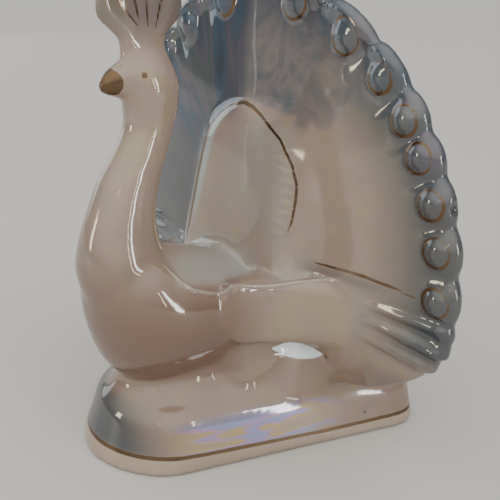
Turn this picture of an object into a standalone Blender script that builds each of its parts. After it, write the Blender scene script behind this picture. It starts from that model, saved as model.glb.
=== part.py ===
"""Porcelain peacock figurine: one slip-cast piece, a strutting bird with a raised tail on a low base.

Metres, +Z up. The bird looks along -Y and its plane of symmetry is X = 0. The origin is on the table,
under the middle of the figure's bounding box.
"""

import math

import bmesh
import bpy
import numpy as np

# Driving sizes of the figure, in metres.
FIGURE_HEIGHT = 0.176
FAN_RADIUS = 0.0963
FAN_THICKNESS = 0.0062
FAN_BACK_SWELL = 0.0060
TOP_EYE_RADIUS = 0.0059
SIDE_EYE_RADIUS = 0.0047
EYE_RISE = 0.0030
CREST_HEIGHT = 0.0345
CREST_THICKNESS = 0.0070

# Driving sizes of the base, in metres.
BASE_LENGTH = 0.1245
BASE_REAR_WIDTH = 0.1250
BASE_FRONT_WIDTH = 0.0500
BASE_HEIGHT = 0.0218
BASE_FRONT_ROUND = 0.0195
BASE_REAR_ROUND = 0.0225
BASE_LEAN = 0.0062
BASE_FOOT_ROUND = 0.0012
BASE_SHOULDER_ROUND = 0.0100

# The bird is a free form: its stations below are in figure units, of which the whole height has 183.
UNITS_HIGH = 183
UNIT = FIGURE_HEIGHT / UNITS_HIGH
BIRD_SETBACK = 10.2

# The breast and back, from the breast's tip to the fan: (y, half width, widest height, underside, top).
BODY_STATIONS = (
    (-51.5, 0.0, 65.0, 65.0, 65.0),
    (-50.5, 8.0, 64.5, 52.5, 76.0),
    (-47.0, 15.2, 63.0, 40.5, 82.0),
    (-41.0, 21.0, 60.5, 32.0, 85.5),
    (-33.0, 25.2, 58.5, 28.0, 86.0),
    (-23.0, 27.6, 57.0, 27.0, 82.5),
    (-10.0, 29.0, 56.0, 26.0, 77.5),
    (2.0, 30.0, 55.0, 25.0, 73.5),
    (16.0, 30.5, 54.0, 25.0, 70.5),
    (31.3, 30.0, 53.0, 25.0, 70.0),
)

# The ridge along each side of the back, from the neck to inside the wing: (y, x, z, crispness).
SHOULDER_STATIONS = (
    (-52.0, 12.0, 80.0, 0.0),
    (-36.0, 14.0, 82.0, 0.0),
    (-29.5, 18.1, 77.4, 1.0),
    (-26.3, 21.4, 73.4, 1.0),
    (-22.9, 23.4, 70.5, 1.0),
    (-18.7, 24.9, 68.1, 1.0),
    (-14.9, 25.8, 66.7, 1.0),
    (-11.1, 26.3, 65.6, 1.0),
    (4.0, 26.5, 65.0, 1.0),
    (32.0, 26.5, 64.5, 1.0),
)
SHOULDER_SHARE = 0.4
BACK_POWER = 1.5

# The neck and head, from inside the breast to the crest's root: (z, middle y, half width, half depth).
NECK_STATIONS = (
    (62.0, -32.0, 17.5, 19.0),
    (72.0, -36.0, 18.0, 17.6),
    (79.5, -37.6, 16.4, 15.9),
    (88.0, -37.6, 13.8, 13.9),
    (97.0, -35.8, 12.2, 12.2),
    (108.0, -31.8, 11.0, 11.0),
    (117.0, -26.8, 9.8, 9.8),
    (124.0, -23.6, 9.1, 9.2),
    (130.0, -22.4, 9.6, 9.8),
    (136.5, -22.2, 10.2, 10.6),
    (142.5, -22.8, 9.4, 10.4),
    (147.0, -23.6, 6.9, 9.5),
    (150.5, -24.0, 4.9, 8.7),
    (153.5, -24.2, 4.1, 8.2),
    (157.5, -24.2, 3.6, 8.2),
)

# The beak, from inside the head to its tip: (y, middle z, half width, half height).
BEAK_STATIONS = (
    (-24.0, 141.4, 7.0, 7.6),
    (-30.0, 141.2, 6.6, 7.2),
    (-34.5, 141.0, 5.2, 6.0),
    (-38.5, 140.4, 3.6, 4.2),
    (-41.0, 139.6, 1.9, 2.4),
    (-42.2, 139.0, 0.7, 1.0),
)

# The mound under the bird, from inside the base to inside the breast: (z, middle y, half width, half length).
MOUND_STATIONS = (
    (14.0, 0.0, 32.0, 47.0),
    (22.0, -1.0, 29.0, 44.0),
    (26.0, -1.0, 26.0, 41.0),
    (30.0, -1.0, 23.4, 38.2),
    (34.0, 0.0, 22.4, 36.5),
    (42.0, 2.0, 22.0, 33.0),
)

# The flank of the mound under the wings, from inside the base: (z, middle y, half width, half length).
FLANK_STATIONS = (
    (14.0, 12.0, 37.0, 30.0),
    (22.0, 11.0, 34.5, 27.0),
    (28.0, 10.5, 32.5, 24.5),
    (35.0, 10.0, 31.2, 22.5),
    (42.0, 10.0, 31.0, 21.0),
    (48.0, 10.0, 30.5, 19.0),
)
FLANK_POWER = 0.5
FLANK_TAPER = 0.14

# The foot of the tail, from inside the base to inside the fan: (z, middle y, half width, half depth).
TAIL_FOOT_STATIONS = (
    (14.0, 37.0, 47.5, 34.0),
    (20.0, 36.0, 47.5, 33.0),
    (25.0, 34.0, 48.5, 28.0),
    (31.0, 29.5, 54.0, 15.0),
    (38.0, 27.4, 64.0, 8.0),
    (46.0, 27.6, 74.0, 4.8),
)
TAIL_FOOT_POWER = 0.5
TAIL_FOOT_TAPER = 0.18

# The rump that stands out from the fan above the back, under a round arch: (z, half width, rise off the fan).
RUMP_STATIONS = (
    (56.0, 34.0, 12.0),
    (66.0, 34.0, 11.0),
    (78.0, 33.4, 9.5),
    (88.0, 33.0, 7.8),
    (99.0, 31.8, 6.2),
    (109.0, 29.0, 5.2),
    (118.0, 22.5, 4.4),
    (124.0, 15.0, 3.6),
    (127.6, 8.0, 2.6),
    (129.2, 2.5, 1.0),
)

# The wing on each side, from the body out to the fan's lower corner: (x, front y, underside, top).
WING_STATIONS = (
    (22.0, -10.5, 45.0, 69.0),
    (29.0, -10.5, 45.0, 69.8),
    (31.2, -9.0, 44.5, 69.4),
    (33.2, -2.0, 43.5, 68.4),
    (37.5, 8.0, 42.5, 68.4),
    (45.0, 15.5, 41.5, 69.6),
    (56.0, 20.0, 41.0, 70.6),
    (70.0, 23.4, 41.5, 70.6),
    (82.0, 25.2, 44.0, 69.5),
    (91.0, 26.8, 50.0, 67.0),
)

# The right wing lies this much lower than the left one.
RIGHT_WING_DROP = 7.0

# The fan: its middle, its front and the front's swell, and its eyes' angles (degrees from straight up).
FAN_MIDDLE_Z = 76.0
FAN_FRONT_Y = 27.2
FAN_FRONT_SWELL = 8.4
FAN_LIP_FORWARD = 2.6
FAN_LIP_FROM = 0.92
FAN_TOP_LIP = 2.8
FAN_TOP_GROWTH = 0.016
FAN_TOP_ANGLES = (38.0, 56.0)
EYE_RING_SHARE = 0.925
EYE_ANGLES = (13.0, 30.6, 43.2, 53.5, 61.5, 71.0, 80.5, 91.0)
TOP_EYE_PAIRS = 2
SCALLOP_SHARE = 0.022
RIM_ROUND_SHARE = 0.50

# Below its last eye the fan draws in to the base: (angle from straight up, share of the fan's radius).
LOWER_FAN_STATIONS = (
    (95.0, 1.0),
    (102.6, 0.985),
    (108.8, 0.940),
    (114.0, 0.895),
    (122.0, 0.820),
    (131.0, 0.735),
    (140.0, 0.670),
    (153.0, 0.600),
    (180.0, 0.580),
)

# The crest: a fluted plate in the plane of symmetry.
CREST_ROOT_Z = 147.0
CREST_MIDDLE_Y = -24.6
CREST_ROOT_HALF = 8.2
CREST_TIP_HALF = 17.4
CREST_GROOVES = (-1.0, -0.58, -0.22, 0.07, 0.43, 1.0)
CREST_FEATHER_STEPS = 5
CREST_ARCH = 0.26

# Fineness of the facets.
BODY_SIDES = 30
NECK_SIDES = 20
BASE_SIDES = 52
LOBE_STEPS = 4
EYE_SIDES = 10


def clear_scene():
    """Empties the scene that Blender starts with."""
    for obj in list(bpy.data.objects):
        bpy.data.objects.remove(obj, do_unlink=True)


def porcelain():
    """The pearl-lustre glaze that covers the whole casting."""
    material = bpy.data.materials.new("pearl_lustre_porcelain")
    material.use_nodes = True
    shader = material.node_tree.nodes["Principled BSDF"]
    shader.inputs["Base Color"].default_value = (0.52, 0.43, 0.36, 1.0)
    shader.inputs["Roughness"].default_value = 0.12
    shader.inputs["Metallic"].default_value = 0.0
    return material


def smooth_table(stations, count):
    """Rows of a station table, made finer along a Catmull-Rom curve: (count, columns)."""
    table = np.array(stations, float)
    padded = np.vstack([2 * table[0] - table[1], table, 2 * table[-1] - table[-2]])
    position = np.linspace(0, len(table) - 1, count)
    step = np.minimum(position.astype(int), len(table) - 2)
    t = (position - step)[:, None]
    before, start, end, after = (padded[step + k] for k in range(4))
    bend = 2 * before - 5 * start + 4 * end - after
    swing = 3 * start - before - 3 * end + after
    return 0.5 * (2 * start + (end - before) * t + bend * t**2 + swing * t**3)


def at(stations, places):
    """The columns after the first, read at the given places of the first column."""
    fine = smooth_table(stations, 12 * len(stations))
    return [np.interp(places, fine[:, 0], fine[:, k]) for k in range(1, fine.shape[1])]


def mesh_object(name, points, faces):
    """A mesh object with smooth shading and its faces pointing out."""
    mesh = bpy.data.meshes.new(name)
    mesh.from_pydata([tuple(point) for point in points], [], faces)
    shape = bmesh.new()
    shape.from_mesh(mesh)
    bmesh.ops.remove_doubles(shape, verts=shape.verts, dist=1e-6)
    bmesh.ops.recalc_face_normals(shape, faces=shape.faces)
    shape.to_mesh(mesh)
    shape.free()
    obj = bpy.data.objects.new(name, mesh)
    bpy.context.scene.collection.objects.link(obj)
    return obj


def loft(name, rings):
    """A closed solid through rings of equal length, closed at each end by triangles to the ring's middle."""
    rings = np.asarray(rings, float)
    count, sides = rings.shape[:2]
    points = np.vstack([rings.reshape(-1, 3), rings[0].mean(0), rings[-1].mean(0)])
    start = count * sides
    last = (count - 1) * sides
    faces = []
    for side in range(sides):
        after = (side + 1) % sides
        faces.append((start, after, side))
        faces.append((start + 1, last + side, last + after))
        for low in range(0, last, sides):
            high = low + sides
            faces.append((low + side, low + after, high + after, high + side))
    return mesh_object(name, points, faces)


def turn(sides):
    """Cosines and sines of equal steps round a circle."""
    angle = np.arange(sides) * 2 * math.pi / sides
    return np.cos(angle), np.sin(angle)


def place(x, y, z):
    """Points in metres from figure units, with the bird set back over the middle of the base."""
    x, y, z = np.broadcast_arrays(x, y, z)
    return np.stack([x, y - BIRD_SETBACK, z], -1) * UNIT


def ridged_half(turned, half, middle, top, ridge_x, ridge_z):
    """Half a section of the back, from its widest point up to the ridge and on to the crown."""
    side = np.clip(turned / SHOULDER_SHARE, 0, 1)
    back = np.clip((turned - SHOULDER_SHARE) / (1 - SHOULDER_SHARE), 0, 1)
    x = np.where(back > 0, ridge_x * (1 - back), half - (half - ridge_x) * side**2)
    rise = (top - ridge_z) * (1 - (1 - back) ** BACK_POWER)
    return x, np.where(back > 0, ridge_z + rise, middle + (ridge_z - middle) * side)


def make_body():
    """The breast and back: upright ovals along Y, with a ridge on each side of the back behind the neck."""
    cosine, sine = turn(BODY_SIDES)
    turned = np.arctan2(np.abs(sine), np.abs(cosine)) * 2 / math.pi
    shoulder = np.array(SHOULDER_STATIONS)
    rings = []
    for y, half, middle, under, top in smooth_table(BODY_STATIONS, 22):
        ridge_x, ridge_z, crisp = (np.interp(y, shoulder[:, 0], shoulder[:, k]) for k in (1, 2, 3))
        reach = np.where(sine > 0, top - middle, middle - under)
        ridged_x, ridged_z = ridged_half(turned, half, middle, top, ridge_x, ridge_z)
        share = np.where(sine > 0, crisp, 0)
        x = half * cosine * (1 - share) + np.sign(cosine) * ridged_x * share
        z = (middle + reach * sine) * (1 - share) + ridged_z * share
        rings.append(place(x, y, z))
    rings[0] = rings[0].mean(0) + 0.02 * (rings[1] - rings[1].mean(0))
    return loft("body", rings)


def upright_ovals(name, stations, count, sides):
    """A solid of level ovals, one above the other."""
    cosine, sine = turn(sides)
    rings = []
    for z, middle, half_width, half_depth in smooth_table(stations, count):
        rings.append(place(half_width * cosine, middle + half_depth * sine, z))
    return loft(name, rings)


def squared_slices(name, stations, count, sides, power, taper):
    """Level slices with squarish ends that widen by the taper towards the rear."""
    cosine, sine = turn(sides)
    rings = []
    for z, middle, half_width, half_depth in smooth_table(stations, count):
        along = np.sign(sine) * np.abs(sine) ** power
        across = np.sign(cosine) * np.abs(cosine) ** power
        rings.append(place(half_width * across * (1 + taper * along), middle + half_depth * along, z))
    return loft(name, rings)


def make_beak():
    """The short hooked beak: upright ovals that shrink towards the tip."""
    cosine, sine = turn(12)
    rings = []
    for y, z, half_width, half_height in smooth_table(BEAK_STATIONS, 10):
        rings.append(place(half_width * cosine, y, z + half_height * sine))
    return loft("beak", rings)


def base_outline():
    """The base's plan: straight flanks that spread to the rear, a round front and round rear corners."""
    angle = np.arange(BASE_SIDES) * 2 * math.pi / BASE_SIDES
    y = np.sin(angle) * BASE_LENGTH / 2
    along = y / BASE_LENGTH + 0.5
    flank = (BASE_FRONT_WIDTH + (BASE_REAR_WIDTH - BASE_FRONT_WIDTH) * along) / 2
    front = np.clip((BASE_FRONT_ROUND - BASE_LENGTH / 2 - y) / BASE_FRONT_ROUND, 0, 1)
    rear = np.clip((y - BASE_LENGTH / 2 + BASE_REAR_ROUND) / BASE_REAR_ROUND, 0, 1)
    front_share = np.sqrt(1 - front**2)
    rear_share = (1 - rear**2.6) ** (1 / 2.6)
    return np.stack([np.sign(np.cos(angle)) * flank * front_share * rear_share, y], 1)


def make_base():
    """The base: a foot, sides that lean less to the rear, and a shoulder under a top that falls away."""
    outline = base_outline()
    half_size = np.array([BASE_REAR_WIDTH, BASE_LENGTH]) / 2
    fall = 1.04 - 0.14 * (outline[:, 1] / BASE_LENGTH + 0.5)
    rise = BASE_HEIGHT * fall
    rearward = np.clip(2 * outline[:, 1] / BASE_LENGTH, 0, 1)
    lean = BASE_LEAN * (1 - rearward**2)
    level = np.ones(BASE_SIDES)
    rows = [(BASE_FOOT_ROUND * level, 0 * level), (0 * level, BASE_FOOT_ROUND * level)]
    rows.append((lean * 0.4, 0.38 * BASE_HEIGHT * level))
    for share in (0.0, 0.2, 0.4, 0.6, 0.8, 1.0):
        swing = share * math.pi / 2
        inset = lean + BASE_SHOULDER_ROUND * (1 - math.cos(swing))
        height = rise - 0.55 * BASE_SHOULDER_ROUND * (1 - math.sin(swing))
        rows.append((inset, height))
    rings = [np.column_stack([outline * (1 - inset[:, None] / half_size), z]) for inset, z in rows]
    return loft("base", rings)


def fan_edge(angle):
    """The fan's reach from its middle, at angles in degrees from straight up, with a lobe at each eye."""
    size = np.abs(angle)
    dips = lobe_edges()
    nearest = np.clip(np.searchsorted(dips, size) - 1, 0, len(dips) - 2)
    share = (size - dips[nearest]) / (dips[nearest + 1] - dips[nearest])
    lobe = np.where(size < dips[-1], np.abs(np.sin(math.pi * np.clip(share, 0, 1))), 1.0)
    scale = at(LOWER_FAN_STATIONS, size)[0]
    scale = np.where(size < dips[-1], 1 + FAN_TOP_GROWTH * top_share(size), scale)
    return FAN_RADIUS * scale * (1 - SCALLOP_SHARE * (1 - lobe))


def top_share(angle):
    """How far the rim is shaped as at the top: 1 there, falling to 0 down the sides, at angles in degrees."""
    full, none = FAN_TOP_ANGLES
    rising = np.clip((none - np.abs(angle)) / (none - full), 0, 1)
    return rising**2 * (3 - 2 * rising)


def lobe_edges():
    """The angles of the dips between lobes, from straight up to below the last eye."""
    eyes = np.array(EYE_ANGLES)
    between = (eyes[1:] + eyes[:-1]) / 2
    return np.concatenate([[0.0], between, [2 * eyes[-1] - between[-1]]])


def fan_share(x, z):
    """How far X and Z, in units, are from the fan's middle, as a share of its radius."""
    return np.hypot(x, z - FAN_MIDDLE_Z) * UNIT / FAN_RADIUS


def fan_lip(x, z):
    """How far the fan's rim leans forward, in units, at X and Z in units."""
    forward = FAN_LIP_FORWARD + FAN_TOP_LIP * top_share(np.degrees(np.arctan2(x, z - FAN_MIDDLE_Z)))
    return forward * np.clip((fan_share(x, z) - FAN_LIP_FROM) / (1 - FAN_LIP_FROM), 0, 1) ** 2


def fan_front(x, z):
    """The Y of the fan's front, in units, at X and Z in units: it swells in the middle and at the lip."""
    swell = FAN_FRONT_SWELL * np.clip(1 - fan_share(x, z) ** 2, 0, 1) ** 1.5
    return FAN_FRONT_Y - swell - fan_lip(x, z)


def fan_back(x, z):
    """The Y of the fan's back, in units: a wall's thickness behind the flat front, with a slow swell."""
    swell = FAN_BACK_SWELL * np.clip(1 - fan_share(x, z) ** 2, 0, 1)
    return FAN_FRONT_Y - fan_lip(x, z) + (FAN_THICKNESS + swell) / UNIT


def fan_angles():
    """The fan's angles all the way round: even steps across each lobe and down to the base."""
    dips = lobe_edges()
    half = [np.linspace(a, b, LOBE_STEPS, endpoint=False) for a, b in zip(dips[:-1], dips[1:])]
    half.append(np.linspace(dips[-1], 180.0, 14))
    half = np.concatenate(half)
    return np.concatenate([half, -half[1:-1][::-1]])


def make_fan():
    """The fan: a disc of feathers whose front and back meet in a round rim."""
    angles = np.radians(fan_angles())
    rim = FAN_THICKNESS * RIM_ROUND_SHARE / UNIT
    reach = fan_edge(np.degrees(angles)) / UNIT - rim
    outward = np.stack([np.sin(angles), np.cos(angles)])
    rings = []
    for share in (0.3, 0.55, 0.75, 0.92, 0.96, 1.0):
        x, z = outward * reach * share
        z = z + FAN_MIDDLE_Z
        rings.append(place(x, fan_front(x, z), z))
    edge = rings[-1]
    spread = np.stack([np.sin(angles), 0 * angles, np.cos(angles)], 1) * rim * UNIT
    for swing in (45.0, 90.0, 135.0, 180.0):
        turned = math.radians(swing)
        back = np.array([0.0, FAN_THICKNESS * 0.5 * (1 - math.cos(turned)), 0.0])
        rings.append(edge + spread * math.sin(turned) + back)
    for share in (0.94, 0.7, 0.4):
        x, z = outward * reach * share
        z = z + FAN_MIDDLE_Z
        rings.append(place(x, fan_back(x, z), z))
    return loft("fan", rings)


def make_rump():
    """The rump: level slices with a squarish front, from the back up the fan to a round arch."""
    cosine, sine = turn(22)
    power = 0.55
    rings = []
    for z, half, rise in smooth_table(RUMP_STATIONS, 16):
        x = half * np.sign(cosine) * np.abs(cosine) ** power
        y = np.where(sine < 0, fan_front(x, z) - rise * np.abs(sine) ** power, FAN_FRONT_Y + 3.2 * sine)
        rings.append(place(x, y, z))
    return loft("rump", rings)


def make_eyes():
    """One low bead for each eye of the fan, set square to the fan's front."""
    beads = []
    for side in (-1, 1):
        for number, angle in enumerate(EYE_ANGLES):
            turned = math.radians(angle) * side
            distance = FAN_RADIUS * EYE_RING_SHARE / UNIT
            x = distance * math.sin(turned)
            z = FAN_MIDDLE_Z + distance * math.cos(turned)
            y = float(fan_front(np.array([x]), np.array([z]))[0])
            mesh = bpy.data.meshes.new("eye")
            shape = bmesh.new()
            bmesh.ops.create_uvsphere(shape, u_segments=EYE_SIDES, v_segments=6, radius=1.0)
            radius = TOP_EYE_RADIUS if number < TOP_EYE_PAIRS else SIDE_EYE_RADIUS
            bmesh.ops.scale(shape, verts=shape.verts, vec=(radius, radius, EYE_RISE))
            shape.to_mesh(mesh)
            shape.free()
            eye = bpy.data.objects.new(f"eye_{'right' if side < 0 else 'left'}_{number + 1}", mesh)
            bpy.context.scene.collection.objects.link(eye)
            eye.location = place(x, y, z)
            eye.rotation_euler = (math.pi / 2, 0.0, 0.0)
            beads.append(eye)
    return beads


def make_wing(side):
    """One wing: upright slabs from the body out to the fan's lower corner, squarish in front."""
    steps = np.radians(np.linspace(-90.0, 90.0, 11))
    back = FAN_FRONT_Y + 3.6
    rings = []
    for x, front, under, top in smooth_table(WING_STATIONS, 18):
        power = np.interp(x, (34.0, 62.0), (0.45, 1.2))
        if side < 0:
            top -= RIGHT_WING_DROP
        middle = (under + top) / 2
        half = (top - under) / 2
        depth = min(7.0, 0.8 * (back - front))
        y = front + depth * (1 - np.cos(steps) ** power)
        z = middle + half * np.sign(np.sin(steps)) * np.abs(np.sin(steps)) ** 0.8
        rear = place(side * x, back, np.array([top, middle, under]))
        rings.append(np.vstack([place(side * x, y, z), rear]))
    return loft("wing_left" if side > 0 else "wing_right", rings)


def make_crest():
    """The crest: a plate of five plump feathers that spreads from a narrow root to a rounded tip."""
    feathers = len(CREST_GROOVES) - 1
    step = np.arange(feathers * CREST_FEATHER_STEPS + 1) / CREST_FEATHER_STEPS
    across = np.interp(step, np.arange(feathers + 1), CREST_GROOVES)
    flute = np.abs(np.sin(math.pi * step))
    height = CREST_HEIGHT / UNIT * (1 - CREST_ARCH * across**2) * (0.94 + 0.06 * flute)
    edge = np.sqrt(np.clip(1 - across**6, 0, 1))
    rings = []
    for share in np.linspace(0.0, 1.0, 10):
        rising = np.clip((share - 0.22) / 0.44, 0, 1)
        flare = rising**2 * (3 - 2 * rising)
        half = CREST_ROOT_HALF + (CREST_TIP_HALF - CREST_ROOT_HALF) * flare
        tip = math.sqrt(max(0.0, 1 - share**8))
        groove = 1 - 0.30 * share * (1 - flute)
        depth = CREST_THICKNESS / UNIT / 2 * edge * groove * max(tip, 0.12)
        y = CREST_MIDDLE_Y + across * half
        z = CREST_ROOT_Z + height * share
        rings.append(np.vstack([place(depth, y, z), place(-depth, y, z)[::-1][1:-1]]))
    return loft("crest", rings)


def join(target, others):
    """Unites the target with all the others at once and removes them."""
    cutters = bpy.data.collections.new("united")
    for other in others:
        cutters.objects.link(other)
    modifier = target.modifiers.new("unite", "BOOLEAN")
    modifier.operation = "UNION"
    modifier.solver = "EXACT"
    modifier.operand_type = "COLLECTION"
    modifier.collection = cutters
    bpy.context.view_layer.update()
    united = target.evaluated_get(bpy.context.evaluated_depsgraph_get())
    target.data = bpy.data.meshes.new_from_object(united)
    target.modifiers.clear()
    for other in others:
        bpy.data.objects.remove(other, do_unlink=True)
    bpy.data.collections.remove(cutters)
    return target


def main():
    """Builds the casting as one solid."""
    clear_scene()
    base = make_base()
    mound = upright_ovals("mound", MOUND_STATIONS, 7, 36)
    flank = squared_slices("flank", FLANK_STATIONS, 6, 32, FLANK_POWER, FLANK_TAPER)
    foot = squared_slices("tail_foot", TAIL_FOOT_STATIONS, 8, 32, TAIL_FOOT_POWER, TAIL_FOOT_TAPER)
    neck = upright_ovals("neck", NECK_STATIONS, 25, NECK_SIDES)
    pieces = [mound, flank, foot, neck, make_fan(), make_rump(), make_body(), make_beak(), make_crest()]
    wings = [make_wing(1), make_wing(-1)]
    peacock = join(base, pieces + wings + make_eyes())
    peacock.name = "peacock"
    peacock.data.name = "peacock"
    peacock.data.materials.clear()
    peacock.data.materials.append(porcelain())
    peacock.data.shade_smooth()
    peacock.data.set_sharp_from_angle(angle=math.radians(40.0))


main()
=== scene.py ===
"""Dressed model of a porcelain peacock figurine in a pearl-lustre glaze with brushed gold lines.

The casting is built from closed surfaces worked out with numpy, fused into one skin, filleted as slip
casting leaves it, given its fine relief and painted through attributes on its points. Lengths in the
tables are figure units, of which the whole height has 183; meshes are in metres.
"""

import logging
import math
from dataclasses import dataclass
from enum import Enum

import bpy
import numpy as np
from mathutils import Euler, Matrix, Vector


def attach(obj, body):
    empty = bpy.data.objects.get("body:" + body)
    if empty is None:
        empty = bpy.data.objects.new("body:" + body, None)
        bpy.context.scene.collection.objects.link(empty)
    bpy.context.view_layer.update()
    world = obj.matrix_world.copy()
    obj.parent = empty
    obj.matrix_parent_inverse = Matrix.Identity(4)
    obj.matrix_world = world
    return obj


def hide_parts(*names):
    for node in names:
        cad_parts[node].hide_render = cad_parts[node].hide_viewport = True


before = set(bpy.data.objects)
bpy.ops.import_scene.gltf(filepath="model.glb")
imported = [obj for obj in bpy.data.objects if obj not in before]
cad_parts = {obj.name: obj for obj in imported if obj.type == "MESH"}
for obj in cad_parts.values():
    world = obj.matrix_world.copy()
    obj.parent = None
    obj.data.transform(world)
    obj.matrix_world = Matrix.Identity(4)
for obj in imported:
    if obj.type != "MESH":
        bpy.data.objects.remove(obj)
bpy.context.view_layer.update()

LOG = logging.getLogger("peacock")

UNIT = 0.176 / 183
BIRD_SETBACK = 10.2

Array = np.ndarray
Stations = tuple[tuple[float, ...], ...]
Colour = tuple[float, float, float, float]
Stops = tuple[tuple[float, Colour], ...]
Socket = bpy.types.NodeSocket

NO_STROKE = 1e3


@dataclass
class Shell:
    """One closed surface: its points in metres, and its faces as rows of four or three indices."""

    points: Array
    quads: Array
    triangles: Array


def place(x: Array | float, y: Array | float, z: Array | float) -> Array:
    """Turns figure units into metres, with the bird set back over the middle of the base.

    Args:
        x: Across the fan.
        y: From the beak to the tail.
        z: Up from the table.

    Returns:
        Points with a last axis of three.
    """
    x, y, z = np.broadcast_arrays(x, y, z)
    return np.stack([x, y - BIRD_SETBACK, z], -1) * UNIT


def smooth_table(stations: Stations, count: int) -> Array:
    """Reads a station table along a Catmull-Rom curve.

    With t from 0 to 1 between two rows, each column is
    0.5 (2 b + (c - a) t + (2 a - 5 b + 4 c - d) t^2 + (3 b - a - 3 c + d) t^3).

    Args:
        stations: The rows of the table.
        count: How many rows to return.

    Returns:
        Finer rows, in an array of count by columns.
    """
    table = np.array(stations, float)
    padded = np.vstack([2 * table[0] - table[1], table, 2 * table[-1] - table[-2]])
    position = np.linspace(0, len(table) - 1, count)
    step = np.minimum(position.astype(int), len(table) - 2)
    t = (position - step)[:, None]
    a, b, c, d = (padded[step + k] for k in range(4))
    return 0.5 * (2 * b + (c - a) * t + (2 * a - 5 * b + 4 * c - d) * t**2 + (3 * b - a - 3 * c + d) * t**3)


def turn(sides: int) -> tuple[Array, Array]:
    """Gives the cosines and sines of equal steps round a circle."""
    angle = np.arange(sides) * 2 * math.pi / sides
    return np.cos(angle), np.sin(angle)


def rounded(value: Array, power: float | Array) -> Array:
    """Raises the size of a value to a power and keeps its sign, which squares off or sharpens a circle."""
    return np.sign(value) * np.abs(value) ** power


def smoothstep(value: Array, low: float, high: float) -> Array:
    """Goes from 0 at low to 1 at high along 3 t^2 - 2 t^3; low may be the larger of the two."""
    t = np.clip((value - low) / (high - low), 0, 1)
    return t * t * (3 - 2 * t)


def closed_loft(rings: Array) -> Shell:
    """Skins rings of equal length and closes each end with triangles to the ring's middle.

    Args:
        rings: Points as rings by sides by three, in metres.

    Returns:
        The closed surface.
    """
    count, sides = rings.shape[:2]
    points = np.vstack([rings.reshape(-1, 3), rings[0].mean(0), rings[-1].mean(0)])
    side = np.arange(sides)
    after = (side + 1) % sides
    low = (np.arange(count - 1) * sides)[:, None]
    quads = np.stack([low + side, low + after, low + sides + after, low + sides + side], -1).reshape(-1, 4)
    first = np.full(sides, count * sides)
    last = (count - 1) * sides
    triangles = np.vstack(
        [np.stack([first, after, side], 1), np.stack([first + 1, last + side, last + after], 1)]
    )
    solid = Shell(points, quads, triangles)
    corners = points[np.vstack([triangles, quads[:, :3], quads[:, [0, 2, 3]]])]
    volume = np.einsum("ij,ij->i", corners[:, 0], np.cross(corners[:, 1], corners[:, 2])).sum()
    if volume < 0:
        return Shell(points, quads[:, ::-1], triangles[:, ::-1])
    return solid


def squared_slices(stations: Stations, count: int, power: float, taper: float) -> Shell:
    """Stacks level superellipses that widen to the rear.

    With c and s the cosine and sine of the way round, each raised to the power with its sign kept,
    x = half width c (1 + taper s) and y = middle + half depth s.

    Args:
        stations: Rows of height, middle, half width and half depth.
        count: How many slices there are.
        power: What squares off the ovals; 1 leaves them round.
        taper: How much wider the rear is than the middle.

    Returns:
        The closed surface.
    """
    cosine, sine = turn(200)
    across, along = rounded(cosine, power), rounded(sine, power)
    rings = []
    for z, middle, half_width, half_depth in smooth_table(stations, count):
        rings.append(place(half_width * across * (1 + taper * along), middle + half_depth * along, z))
    return closed_loft(np.array(rings))


class Side(Enum):
    """Which side of the bird a part is on."""

    LEFT = 1
    RIGHT = -1


@dataclass
class Base:
    """The low base with its round front, wide rear and softly rounded shoulder."""

    length: float = 0.1245
    rear_width: float = 0.1250
    front_width: float = 0.0500
    height: float = 0.0218
    front_round: float = 0.0195
    rear_round: float = 0.0225
    lean: float = 0.0062
    foot_round: float = 0.0012
    shoulder_round: float = 0.0100
    shoulder_drop: float = 0.0055
    rise_in_front: float = 1.04
    rise_loss: float = 0.14
    rear_power: float = 2.6
    sides: int = 220

    def outline(self) -> Array:
        """Gives the plan of the base.

        y = (length / 2) sin a. The half width is a straight flank that widens to the rear, times
        sqrt(1 - u^2) over the front round and (1 - v^p)^(1 / p) over the rear round, where u and v run
        from 0 to 1 to the tips and p is the rear's power.

        Returns:
            Rows of x and y, in metres.
        """
        angle = np.arange(self.sides) * 2 * math.pi / self.sides
        y = np.sin(angle) * self.length / 2
        along = y / self.length + 0.5
        flank = (self.front_width + (self.rear_width - self.front_width) * along) / 2
        front = np.clip((self.front_round - self.length / 2 - y) / self.front_round, 0, 1)
        rear = np.clip((y - self.length / 2 + self.rear_round) / self.rear_round, 0, 1)
        share = np.sqrt(1 - front**2) * (1 - rear**self.rear_power) ** (1 / self.rear_power)
        return np.stack([np.sign(np.cos(angle)) * flank * share, y], 1)

    def shells(self) -> list[Shell]:
        """Stacks the plan: a small round at the foot, a leaning side and a quarter turn at the top.

        The side leans by 1 - r^2, where r runs from 0 at mid-length to 1 at the rear, so that the rear
        stands upright.

        Returns:
            The base's closed surface.
        """
        outline = self.outline()
        half_size = np.array([self.rear_width, self.length]) / 2
        rise = self.height * (self.rise_in_front - self.rise_loss * (outline[:, 1] / self.length + 0.5))
        lean = self.lean * (1 - np.clip(2 * outline[:, 1] / self.length, 0, 1) ** 2)
        rows = []
        for turned in np.linspace(0, math.pi / 2, 4):
            height = np.full(self.sides, self.foot_round * (1 - math.cos(turned)))
            rows.append((self.foot_round * (1 - math.sin(turned)) * np.ones(self.sides), height))
        side = rise - self.shoulder_drop - self.foot_round
        for share in np.linspace(0.2, 0.9, 6):
            rows.append((lean * share, self.foot_round + share * side))
        for turned in np.linspace(0, math.pi / 2, 10):
            height = rise - self.shoulder_drop * (1 - math.sin(turned))
            rows.append((lean + self.shoulder_round * (1 - math.cos(turned)), height))
        rings = [np.column_stack([outline * (1 - inset[:, None] / half_size), z]) for inset, z in rows]
        return [closed_loft(np.array(rings))]


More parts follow.
